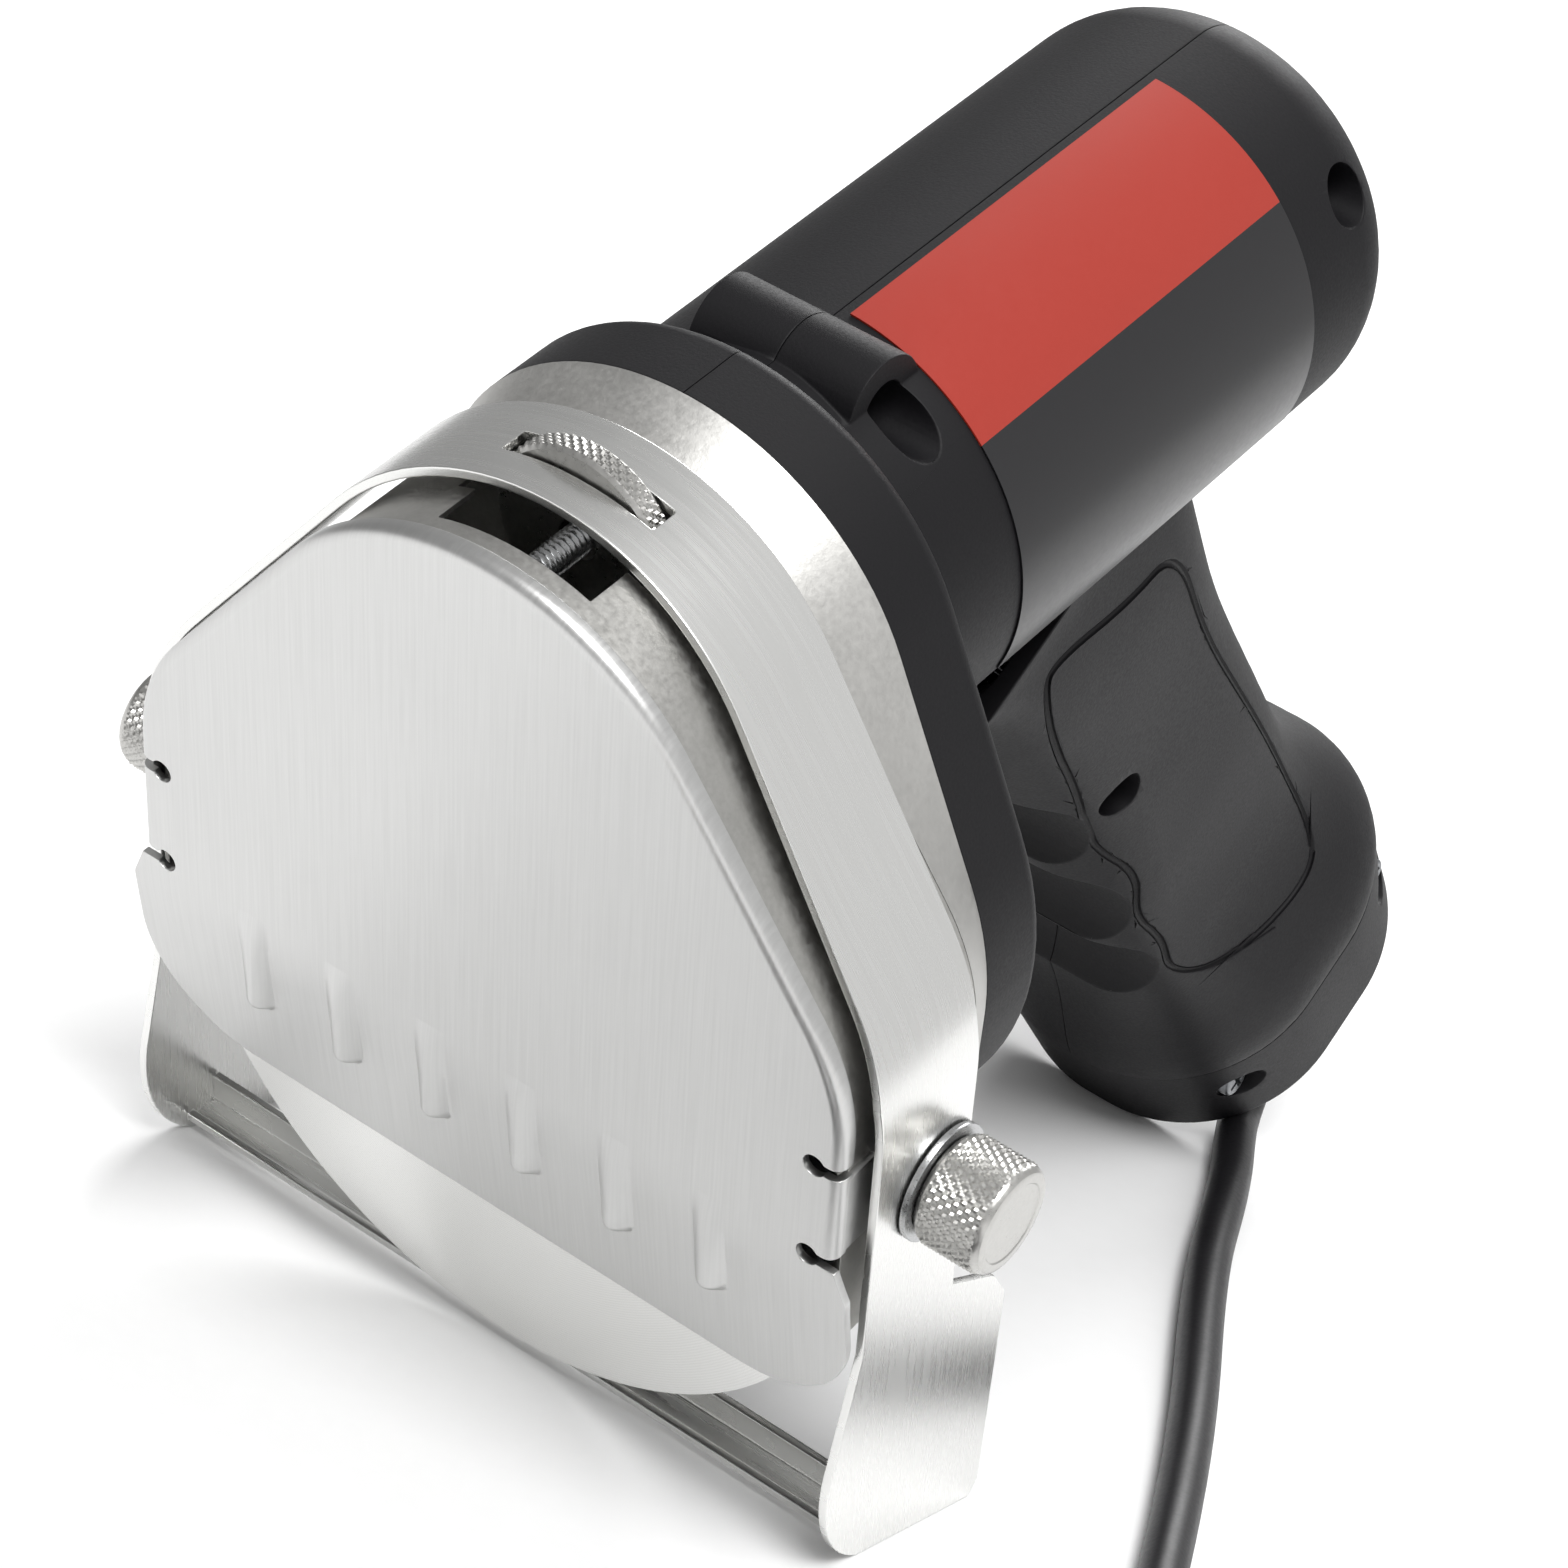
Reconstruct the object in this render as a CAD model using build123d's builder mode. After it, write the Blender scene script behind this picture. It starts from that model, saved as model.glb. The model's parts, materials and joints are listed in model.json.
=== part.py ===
from build123d import *
from math import asin, cos, degrees, dist, pi, radians, sin, tan
import os

# Electric kebab slicer: a pistol-grip hand tool that drives a round blade behind a sheet guard.
#
# The tool is drawn in its own directions and then set down as it rests on a table:
#   across  to the right of the person who holds it, from the middle plane of the tool
#   depth   back from the front face of the guard, towards the motor
#   height  up from the axis of the blade, square to depth
# At rest the nose points down by the lean angle, on the gauge's feet and the cap of the handle.

# The pose at rest
lean = radians(27.5)
axis_height = 43.95
centre_shift = 95.0
overrun = 3.0

# Blade and the hub that carries it
blade_radius = 50.0
blade_thickness = 1.2
blade_front = 4.65
bevel_width = 3.6
edge_land = 0.15
hub_radius = 11.0
hub_thickness = 2.6
spindle_radius = 5.0
stub_radius = 4.0
stub_length = 2.6
nut_width = 13.0
nut_thickness = 2.3

# Front guard, a pressed sheet with a bent lip
guard_sheet = 1.1
guard_half_width = 52.0
crown_height = 43.1
guard_crown_radius = 34.1
guard_lean = radians(36.9)
guard_shoulder = 27.5
guard_flange = 2.5
lip_start = 3.0
lip_length = 29.2
lip_half_width = 54.0
lip_corner = 16.0
lip_angle = radians(7.0)
rib_count = 6
rib_spacing = 13.85
rib_width = 3.8
rib_length = 16.5
rib_rise = 1.3
clip_low = 4.0
clip_high = 17.0
clip_depth = 7.0
clip_sheet = 1.1
clip_notch = 1.5

# Blade housing, the cup that the blade turns in
cup_sheet = 0.8
cup_half_width = 51.2
cup_crown_radius = 32.9
cup_front = 2.7
cup_back = 26.0
cup_back_sheet = 1.6
cup_corner = 15.0
cup_bottom = -26.0
cup_side_end = -14.0
lip_clear_depth = 1.6
lip_clear_height = -4.5
window_half_width = 10.5
window_front = 5.8
wheel_window_front = 12.0
wheel_window_half_width = 13.0
rod_tab_half_width = 6.0
rod_tab_front = 3.0
rod_tab_thickness = 1.6
rod_tab_foot = 64.0

# Gear case and the plate behind it
case_back = 34.3
case_wall = 3.0
collar_crown_radius = 34.3
collar_crown_height = 45.3
collar_lean = radians(24.1)
collar_half_width = 47.2
collar_shoulder = 42.0
collar_corner = 41.0
collar_bottom = -27.0
collar_back = 45.8
plate_front = 38.6
plate_back = 43.2
boss_wall = 3.4
post_radius = 3.6
post_places = ((34.0, -4.0), (27.0, 41.0))
case_screw_radius = 2.0
case_screw_head = 3.6
case_screw_head_thickness = 2.2

# Gears: the pinion on the motor turns the blade's gear through one idler
gear_module = 1.0
blade_gear_teeth = 44
idler_teeth = 18
pinion_teeth = 12
gear_front = 32.2
gear_back = 37.8
half_tooth = 0.62
tooth_crown = 0.85
tooth_root = 1.25
flank_angle = radians(20)
idler_pin_radius = 3.0
running_gap = 0.03

idler_height = gear_module * (blade_gear_teeth + idler_teeth) / 2
motor_height = idler_height + gear_module * (idler_teeth + pinion_teeth) / 2

# Bearings: one size on the blade spindle and one on the motor shaft
spindle_bearing_outer = 9.5
spindle_bearing_width = 4.5
motor_bearing_outer = 8.0
motor_bearing_width = 4.6
bearing_groove = 0.4
race_share = 0.2

# Motor
tube_radius = 28.1
tube_end = 149.0
tube_rounding = 12.0
shell_wall = 2.6
seat_gap = 0.3
shaft_radius = 2.5
shaft_front = 31.2
shaft_end = 135.0
fan_front = 50.0
fan_back = 57.0
fan_radius = 18.5
fan_hub_radius = 6.0
fan_disc = 1.6
fan_blades = 11
fan_blade_thickness = 1.2
stator_front = 67.0
stator_back = 106.0
stator_bore = 14.8
armature_front = 70.0
armature_back = 104.0
armature_radius = 14.2
commutator_front = 109.5
commutator_back = 121.0
commutator_radius = 7.5
brush_depth = 115.0
brush_width = 5.0
brush_length = 13.0
bracket_front = 124.0
bracket_thickness = 6.0

# Handle
handle_length_to_axis = 115.2
rake = radians(28)
seam_down = 107.7
grip_width = 40.0
grip_rounding = 12.0
grip_sections = (
    (-34.0, -41.0, 22.0, grip_width, grip_rounding),
    (-20.0, -31.0, 18.5, grip_width, grip_rounding),
    (0.0, -27.5, 17.0, grip_width, grip_rounding),
    (40.0, -26.0, 17.5, grip_width, grip_rounding),
    (74.0, -26.0, 20.5, grip_width, grip_rounding),
    (84.0, -26.5, 24.0, 43.5, 15.5),
    (95.0, -28.3, 28.8, 50.5, 21.0),
    (107.7, -30.4, 30.0, 53.4, 25.0),
)
scoop_radius = 15.0
scoop_rear = -36.2
scoop_places = (21.0, 45.5, 68.0)
bridge_radius = 6.75
bridge_half_length = 11.6
screw_places = ((56.5, 70.0), (137.0, 61.0), (109.2, -22.9))
screw_head_rest = 9.0
bridge_head_rest = 6.0
screw_head_radius = 3.0
screw_head_thickness = 2.4
screw_radius = 1.6
screw_length = 20.0
screw_recess = 3.5

# Cap that closes the foot of the handle
cap_gap = 0.3
cap_depth = 22.6
cap_taper = 1.5
cap_rounding = 2.5
cap_wall = 2.8
cap_screw_radius = 1.5
cap_screw_head = 2.8
cap_screw_thickness = 2.0
cap_screw_length = 9.0
cap_screw_recess = 3.3
cap_screw_down = 9.5
cap_screw_rears = (-19.2, 18.8)
cap_screw_rest = 19.0

# Switch
trigger_half_width = 7.0
trigger_top = -12.0
trigger_bottom = 15.0
trigger_front = -37.0
trigger_back = -26.0
trigger_gap = 0.4
trigger_dish = 26.0
trigger_dish_depth = 2.6
stem_radius = 2.6
switch_front = -9.0
switch_back = 13.0
switch_half_width = 9.0
switch_half_height = 11.0
spring_radius = 4.0
spring_wire = 1.0
spring_turns = 5
spring_well = 7.0
terminal_half_width = 16.0
terminal_half_height = 6.0
terminal_length = 16.0
terminal_down = 96.0

# Gauge: one bent sheet that tilts on the two side knobs and sets the thickness of the slice
gauge_sheet = 1.2
gauge_half_width = 54.5
gauge_crown_radius = 35.8
gauge_lean = radians(36.6)
gauge_shoulder = 30.0
pivot_depth = 16.0
pivot_height = 6.5
pivot_radius = 3.0
pivot_gap = 0.06
strap_front_top = 11.3
strap_back_top = 26.3
arm_front = 4.2
arm_back = 22.2
foot_front = 6.7
foot_back = 31.6
slot_half_length = 10.4
slot_front = 16.3
slot_back = 20.2
beam_lip_rise = 2.2
beam_front = 6.3
beam_width = 6.2
beam_wall_rise = 5.2
beam_clear = 0.5
beam_bend = 1.6

# Knobs and the studs that they turn on
knob_radius = 7.2
knob_inner = 55.7
knob_outer = 65.0
knob_chamfer = 0.7
stud_head_radius = 6.5
stud_head_thickness = 1.2
bush_radius = 6.5
bush_gap = 0.2
stud_end = 60.5
washer_radius = 7.6
washer_gap = 0.25
washer_thickness = 0.8

# Thumb wheel on its rod
rod_height = 70.0
rod_radius = 2.0
rod_front = 2.9
rod_back = 30.5
wheel_radius = 11.8
wheel_thickness = 3.3
wheel_bore = 2.6
wheel_chamfer = 0.5

# Bare rating plate round the motor tube
plate_label_front = 63.4
plate_label_back = 125.1
label_thickness = 0.25
label_gap = 0.05
label_top = 87.0
label_split = 43.0
label_bottom = -23.5

# Cord: a light two-core mains lead with a two-pin plug
cord_radius = 3.25
gland_radius = 5.75
gland_across = 16.4
gland_rear = -9.0
gland_proud = 0.8
gland_root = 7.0
floor_clearance = 0.1
coil_gap = 0.5
coil_start_radius = 50.0
coil_half_turns = 12
plug_length = 36.0
plug_width = 35.0
plug_rounding = 8.0
plug_pin_radius = 2.4
plug_pin_chamfer = 0.8
plug_height = 20.0
plug_pin_length = 19.0
plug_pin_spacing = 19.0

BACK = Vector(0, cos(lean), sin(lean))
UP = Vector(0, -sin(lean), cos(lean))
RIGHT = Vector(1, 0, 0)
GRIP_UP = UP * cos(rake) - BACK * sin(rake)
GRIP_BACK = BACK * cos(rake) + UP * sin(rake)


def place(across, depth, height):
    """A point of the tool, where it lies when the tool rests on the table."""
    return RIGHT * across + BACK * depth + UP * height + Vector(0, -centre_shift, axis_height)


def grip_place(across, rear, down):
    """A point of the handle: down its raked line from the blade's height, and to the rear of it."""
    return place(across, handle_length_to_axis, 0) + GRIP_BACK * rear - GRIP_UP * down


def square(depth, across=0, height=0):
    """Plane across the tool that faces the front; its sketch runs to the right and up."""
    return Plane(origin=place(across, depth, height), x_dir=RIGHT, z_dir=-BACK)


def beside(across, depth=0, height=0):
    """Plane along the tool that faces the right; its sketch runs back and up."""
    return Plane(origin=place(across, depth, height), x_dir=BACK, z_dir=RIGHT)


def grip_side(across, rear=0, down=0):
    """Plane along the handle that faces the right; its sketch runs to the rear and up."""
    return Plane(origin=grip_place(across, rear, down), x_dir=GRIP_BACK, z_dir=RIGHT)


def grip_level(down, rear=0, across=0):
    """Plane across the handle that faces up it; its sketch runs to the right and to the rear."""
    return Plane(origin=grip_place(across, rear, down), x_dir=RIGHT, z_dir=GRIP_UP)


def table_line(depth):
    """Height of the table under a given depth, measured as the tool's heights are."""
    return -(axis_height + depth * sin(lean)) / cos(lean)


def egg(plane, crown_radius, crown, side_lean, shoulder, half_width, corner, bottom):
    """Outline shared by guard, cup, gear case and collar: round crown, leaning sides, round foot."""
    touch = (crown_radius * cos(side_lean), crown + crown_radius * sin(side_lean))
    inward = shoulder + (half_width - shoulder - touch[0]) * cos(side_lean)
    shoulder_height = touch[1] - inward / sin(side_lean)
    joint = (half_width - shoulder * (1 - cos(side_lean)), shoulder_height + shoulder * sin(side_lean))
    with BuildSketch(plane) as outline:
        with BuildLine():
            CenterArc((0, crown), crown_radius, degrees(side_lean), 90 - degrees(side_lean))
            Line(touch, joint)
            CenterArc((half_width - shoulder, shoulder_height), shoulder, 0, degrees(side_lean))
            Line((half_width, shoulder_height), (half_width, bottom + corner))
            CenterArc((half_width - corner, bottom + corner), corner, -90, 90)
            Line((half_width - corner, bottom), (0, bottom))
            Line((0, bottom), (0, crown + crown_radius))
        make_face()
        mirror(about=Plane.YZ)
    return outline.sketch


def turned(profile, height=0):
    """Solid turned about a line from front to back; the profile gives depths and radii."""
    with BuildPart() as piece:
        with BuildSketch(beside(0, 0, height)):
            with BuildLine():
                Polyline(*profile, close=True)
            make_face()
        revolve(axis=Axis(place(0, 0, height), BACK))
    return piece.part


def ring(front, back, inner, outer, height=0):
    """Plain ring or, with no bore, a disc between two depths."""
    return turned(((front, inner), (front, outer), (back, outer), (back, inner)), height)


def bearing(front, back, inner, outer, height):
    """Sealed ball bearing as it is bought: a ring with a recessed shield on each face."""
    inset = (outer - inner) * race_share
    shield = bearing_groove
    return turned((
        (front, inner), (front, inner + inset), (front + shield, inner + inset),
        (front + shield, outer - inset), (front, outer - inset), (front, outer),
        (back, outer), (back, outer - inset), (back - shield, outer - inset),
        (back - shield, inner + inset), (back, inner + inset), (back, inner),
    ), height)


def gear(teeth, bore, height):
    """Spur gear with a tooth on its level line to the right, so that the train meshes at rest."""
    pitch_radius = gear_module * teeth / 2
    outline = []
    for tooth in range(teeth):
        middle = 2 * pi * tooth / teeth
        for radial, side in ((-tooth_root, -1), (tooth_crown, -1), (tooth_crown, 1), (-tooth_root, 1)):
            radius = pitch_radius + radial * gear_module
            half = (half_tooth - radial * tan(flank_angle)) * gear_module
            turn = middle + side * asin(half / radius)
            outline.append((radius * cos(turn), radius * sin(turn)))
    with BuildPart() as piece:
        with BuildSketch(square(gear_front, 0, height)):
            with BuildLine():
                Polyline(*outline, close=True)
            make_face()
            Circle(bore, mode=Mode.SUBTRACT)
        extrude(amount=gear_front - gear_back)
    return piece.part


def block(left, right, front, back, low, high):
    """Plain block between two places in each of the tool's directions."""
    with BuildPart() as piece:
        with BuildSketch(square(front, (left + right) / 2, (low + high) / 2)):
            Rectangle(right - left, high - low)
        extrude(amount=front - back)
    return piece.part


def bar(plane, radius, length):
    """Round bar that starts on a plane and runs along the way it faces, or back if negative."""
    with BuildPart() as piece:
        with BuildSketch(plane):
            Circle(radius)
        extrude(amount=length)
    return piece.part


def screw(plane, head_radius, head_thickness, shank_radius, shank_length):
    """Cross-head screw whose head rests on the plane and whose shank goes in behind it."""
    cross_share = 1.3
    arm_share = 0.3
    rounding_share = 0.33
    recess_share = 0.5
    with BuildPart() as piece:
        with BuildSketch(plane):
            Circle(head_radius)
        extrude(amount=head_thickness)
        fillet(piece.faces().sort_by(Axis(plane.origin, plane.z_dir))[-1].edges(),
               head_thickness * rounding_share)
        with BuildSketch(plane.offset(head_thickness * recess_share)):
            Rectangle(head_radius * cross_share, head_radius * arm_share)
            Rectangle(head_radius * arm_share, head_radius * cross_share)
        extrude(amount=head_thickness, mode=Mode.SUBTRACT)
        add(bar(plane, shank_radius, -shank_length))
    return piece.part


def both_sides(solid):
    """A solid and its mirror image on the other side of the tool, as one group."""
    return Compound(children=[solid, mirror(solid, about=Plane.YZ, mode=Mode.PRIVATE)])


# Blade: flat in front, ground to its edge from behind
blade_back = blade_front + blade_thickness
blade = turned((
    (blade_front, stub_radius),
    (blade_front, blade_radius),
    (blade_front + edge_land, blade_radius),
    (blade_back, blade_radius - bevel_width),
    (blade_back, stub_radius),
))

blade_nut_front = blade_front - nut_thickness
with BuildPart() as blade_nut:
    with BuildSketch(square(blade_nut_front)):
        RegularPolygon(nut_width / 2, 6, major_radius=False)
        Circle(stub_radius, mode=Mode.SUBTRACT)
    extrude(amount=-nut_thickness)

spindle_back = plate_back
blade_spindle = turned((
    (blade_front - stub_length, 0), (blade_front - stub_length, stub_radius),
    (blade_back, stub_radius), (blade_back, hub_radius),
    (blade_back + hub_thickness, hub_radius), (blade_back + hub_thickness, spindle_radius),
    (spindle_back, spindle_radius), (spindle_back, 0),
))

# Gear train
blade_gear = gear(blade_gear_teeth, spindle_radius, 0)
idler_gear = gear(idler_teeth, idler_pin_radius + running_gap, idler_height)
motor_pinion = gear(pinion_teeth, shaft_radius, motor_height)
idler_pin = ring(cup_back, plate_front, 0, idler_pin_radius, idler_height)

# Front guard
guard_shape = (guard_crown_radius, crown_height, guard_lean, guard_shoulder, guard_half_width)
guard_foot = -20.0
guard_foot_corner = 5.0


def guard_egg(depth, inset):
    """Outline of the guard's face, set in by a wall; its foot is cut off at the bend line."""
    crown_radius, crown, side_lean, shoulder, half_width = guard_shape
    return egg(square(depth), crown_radius - inset, crown, side_lean, shoulder - inset,
               half_width - inset, guard_foot_corner, guard_foot)


LIP_FRONT = -BACK * cos(lip_angle) - UP * sin(lip_angle)
lip_plane = Plane(origin=place(0, 0, lip_start), x_dir=RIGHT, z_dir=LIP_FRONT)
lip_shoulder_drop = 5.0
notch_reach = 3.6
notch_height = 0.8

with BuildPart() as front_guard:
    extrude(guard_egg(0, 0), amount=-guard_flange)
    extrude(guard_egg(guard_sheet, guard_sheet), amount=-guard_flange, mode=Mode.SUBTRACT)
    add(block(-lip_half_width, lip_half_width, -overrun, guard_flange + overrun,
              guard_foot - overrun, lip_start), mode=Mode.SUBTRACT)
    with BuildSketch(lip_plane):
        with BuildLine():
            Line((0, 0), (guard_half_width, 0))
            Line((guard_half_width, 0), (lip_half_width, -lip_shoulder_drop))
            Line((lip_half_width, -lip_shoulder_drop), (lip_half_width, lip_corner - lip_length))
            CenterArc((lip_half_width - lip_corner, lip_corner - lip_length), lip_corner, -90, 90)
            Line((lip_half_width - lip_corner, -lip_length), (0, -lip_length))
            Line((0, -lip_length), (0, 0))
        make_face()
        mirror(about=Plane.YZ)
    extrude(amount=-guard_sheet)
    for number in range(rib_count):
        rib_across = (number - (rib_count - 1) / 2) * rib_spacing
        rib_side = Plane(origin=place(rib_across, 0, lip_start), x_dir=LIP_FRONT, z_dir=-RIGHT)
        with BuildSketch(rib_side):
            with BuildLine():
                Polyline(
                    (-guard_sheet / 2, -lip_start),
                    (0, -lip_start),
                    (rib_rise, -lip_start - rib_length + rib_rise),
                    (0, -lip_start - rib_length),
                    (-guard_sheet / 2, -lip_start - rib_length),
                    close=True,
                )
            make_face()
        extrude(amount=rib_width / 2, both=True)
    with BuildSketch(beside(guard_half_width - clip_sheet / 2)):
        with Locations((clip_depth / 2, (clip_low + clip_high) / 2)):
            Rectangle(clip_depth, clip_high - clip_low)
    clip = extrude(amount=clip_sheet)
    mirror(clip, about=Plane.YZ)
    for notch_middle in (clip_low - notch_height, clip_high + notch_height):
        for side in (-1, 1):
            with BuildSketch(square(-overrun, side * guard_half_width, notch_middle)):
                Rectangle(2 * notch_reach, 2 * notch_height)
                with Locations((-side * notch_reach, 0)):
                    Circle(clip_notch)
            extrude(amount=-(overrun + clip_depth), mode=Mode.SUBTRACT)

# Blade housing
cup_inside = cup_back - cup_back_sheet


def cup_egg(depth, inset):
    """Outline of the cup, set in by the thickness of its sheet."""
    return egg(square(depth), cup_crown_radius - inset, crown_height, guard_lean,
               guard_shoulder - inset, cup_half_width - inset, cup_corner - inset, cup_bottom + inset)


cup_crown = crown_height + cup_crown_radius
with BuildPart() as blade_housing:
    extrude(cup_egg(cup_front, 0), amount=cup_front - cup_back)
    extrude(cup_egg(cup_front, cup_sheet), amount=cup_front - cup_inside, mode=Mode.SUBTRACT)
    add(block(-guard_half_width, guard_half_width, cup_front - overrun, cup_inside,
              cup_bottom - overrun, cup_side_end), mode=Mode.SUBTRACT)
    add(block(-guard_half_width, guard_half_width, cup_front - overrun, cup_front + lip_clear_depth,
              cup_bottom - overrun, lip_clear_height), mode=Mode.SUBTRACT)
    add(block(-rod_tab_half_width, rod_tab_half_width, rod_tab_front, rod_tab_front + rod_tab_thickness,
              rod_tab_foot, cup_crown - cup_sheet))
    add(block(-window_half_width, window_half_width, window_front, cup_inside,
              rod_tab_foot, cup_crown + overrun), mode=Mode.SUBTRACT)
    add(block(-wheel_window_half_width, wheel_window_half_width, wheel_window_front, cup_inside,
              rod_tab_foot, cup_crown + overrun), mode=Mode.SUBTRACT)
    add(bar(square(cup_front, 0, rod_height), rod_radius, cup_front - cup_back), mode=Mode.SUBTRACT)
    add(bar(square(cup_front), hub_radius, cup_front - cup_back), mode=Mode.SUBTRACT)
    for across, height in post_places:
        for side in (-1, 1):
            add(bar(square(cup_front, side * across, height), case_screw_radius, cup_front - cup_back),
                mode=Mode.SUBTRACT)
    add(bar(beside(-gauge_half_width, pivot_depth, pivot_height), pivot_radius, 2 * gauge_half_width),
        mode=Mode.SUBTRACT)

# Gear case
case_inside = cup_back + case_wall
case_inset = 5.0


def collar_egg(depth, inset, bottom_inset):
    """Outline of the collar, set in by a wall, with its own wall below the gears."""
    return egg(square(depth), collar_crown_radius - inset, collar_crown_height, collar_lean,
               collar_shoulder - inset, collar_half_width - inset, collar_corner - inset,
               collar_bottom + bottom_inset)


bearing_seat = spindle_bearing_outer + boss_wall
front_bearing_front = cup_back + running_gap
front_bearing_back = front_bearing_front + spindle_bearing_width
with BuildPart() as gear_case:
    loft((cup_egg(cup_back, 0).face(), collar_egg(case_back, 0, 0).face()))
    extrude(collar_egg(case_inside, case_inset, shell_wall), amount=case_inside - case_back - overrun,
            mode=Mode.SUBTRACT)
    add(bar(square(case_inside), bearing_seat, case_inside - front_bearing_back))
    for across, height in post_places:
        for side in (-1, 1):
            add(bar(square(case_inside, side * across, height), post_radius, case_inside - plate_front))
            add(bar(square(cup_back, side * across, height), case_screw_radius, cup_back - plate_front),
                mode=Mode.SUBTRACT)
    add(bar(square(cup_back), spindle_bearing_outer, cup_back - front_bearing_back), mode=Mode.SUBTRACT)
    add(bar(square(cup_back, 0, idler_height), idler_pin_radius, cup_back - case_back), mode=Mode.SUBTRACT)
    add(bar(square(cup_back, 0, rod_height), rod_radius, cup_back - case_back), mode=Mode.SUBTRACT)

rear_bearing_front = plate_back - spindle_bearing_width
shaft_bearing_front = plate_back - motor_bearing_width
plate_gap = shell_wall + seat_gap
case_screw_end = 42.0
with BuildPart() as bearing_plate:
    extrude(collar_egg(plate_front, plate_gap, plate_gap), amount=plate_front - plate_back)
    add(bar(square(plate_front), spindle_bearing_outer, plate_front - plate_back), mode=Mode.SUBTRACT)
    add(bar(square(plate_front, 0, motor_height), motor_bearing_outer, plate_front - plate_back),
        mode=Mode.SUBTRACT)
    for across, height in post_places:
        for side in (-1, 1):
            add(bar(square(plate_front, side * across, height), case_screw_radius,
                    plate_front - case_screw_end), mode=Mode.SUBTRACT)

front_spindle_bearing = bearing(front_bearing_front, front_bearing_back,
                                spindle_radius + running_gap, spindle_bearing_outer, 0)
rear_spindle_bearing = bearing(rear_bearing_front, plate_back,
                               spindle_radius + running_gap, spindle_bearing_outer, 0)
front_motor_bearing = bearing(shaft_bearing_front, plate_back,
                              shaft_radius + running_gap, motor_bearing_outer, motor_height)
case_screw_length = case_screw_end - cup_inside
case_screws = Compound(children=[
    screw(square(cup_inside, side * across, height), case_screw_head, case_screw_head_thickness,
          case_screw_radius, case_screw_length)
    for across, height in post_places for side in (-1, 1)
])

# Motor
stator_outer = tube_radius - shell_wall - seat_gap
winding_bore_gap = 1.5
winding_shell_gap = 2.0
winding_inner = stator_bore + winding_bore_gap
winding_outer = stator_outer - winding_shell_gap
winding_length = 4.5
stator = ring(stator_front, stator_back, stator_bore, stator_outer, motor_height)
field_windings = Compound(children=[
    ring(stator_front - winding_length, stator_front, winding_inner, winding_outer, motor_height),
    ring(stator_back, stator_back + winding_length, winding_inner, winding_outer, motor_height),
])
rotor_shaft = ring(shaft_front, shaft_end, 0, shaft_radius, motor_height)
commutator = ring(commutator_front, commutator_back, shaft_radius, commutator_radius, motor_height)
slot_count = 12
slot_width = 1.6
slot_depth = 3.0
with BuildPart() as armature:
    with BuildSketch(square(armature_front, 0, motor_height)):
        Circle(armature_radius)
        Circle(shaft_radius, mode=Mode.SUBTRACT)
        with PolarLocations(armature_radius, slot_count):
            Rectangle(2 * slot_depth, slot_width, mode=Mode.SUBTRACT)
    extrude(amount=armature_front - armature_back)
fan_blade_root = 1.0
fan_blade_inner = fan_hub_radius - fan_blade_root
fan_blade_length = fan_radius - fan_blade_inner
with BuildPart() as cooling_fan:
    add(ring(fan_front, fan_back, shaft_radius, fan_hub_radius, motor_height))
    add(ring(fan_back - fan_disc, fan_back, fan_hub_radius, fan_radius, motor_height))
    with BuildSketch(square(fan_front, 0, motor_height)):
        with PolarLocations(fan_blade_inner + fan_blade_length / 2, fan_blades):
            Rectangle(fan_blade_length, fan_blade_thickness)
    extrude(amount=fan_front - fan_back)
brush_inner = commutator_radius + running_gap
holder_wall = 1.5
holder_bore_gap = 2.0
holder_shell_gap = 3.0
holder_inner = brush_inner + holder_bore_gap
holder_outer = stator_outer - holder_shell_gap
brush_half = brush_width / 2
holder_half = brush_half + holder_wall
brush_right = block(brush_inner, brush_inner + brush_length, brush_depth - brush_half,
                    brush_depth + brush_half, motor_height - brush_half, motor_height + brush_half)
brushes = both_sides(brush_right)
with BuildPart() as holder_right:
    add(block(holder_inner, holder_outer, brush_depth - holder_half, brush_depth + holder_half,
              motor_height - holder_half, motor_height + holder_half))
    add(brush_right, mode=Mode.SUBTRACT)
brush_holders = both_sides(holder_right.part)
bracket_back = bracket_front + bracket_thickness
bracket_web = 2.0
motor_bracket = turned((
    (bracket_front, motor_bearing_outer), (bracket_front, motor_bearing_outer + boss_wall),
    (bracket_back - bracket_web, motor_bearing_outer + boss_wall),
    (bracket_back - bracket_web, stator_outer - bracket_web), (bracket_front, stator_outer - bracket_web),
    (bracket_front, stator_outer), (bracket_back, stator_outer), (bracket_back, motor_bearing_outer),
), motor_height)
rear_motor_bearing = bearing(bracket_front, bracket_front + motor_bearing_width,
                             shaft_radius + running_gap, motor_bearing_outer, motor_height)

# Handle: the outer form and the space inside it come from the same function
grip_front_wall = 7.6
grip_floor = 3.7
collar_rounding = 2.5
tube_start = 40.0


def grip_face(section, skin, front_wall):
    """Cross-section of the handle at one place down its line, set in by its walls."""
    down, front, rear, width, rounding = section
    with BuildSketch(grip_level(down, (front + front_wall + rear - skin) / 2)) as outline:
        RectangleRounded(width - 2 * skin, rear - skin - front - front_wall, rounding - skin)
    return outline.sketch.face()


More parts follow.
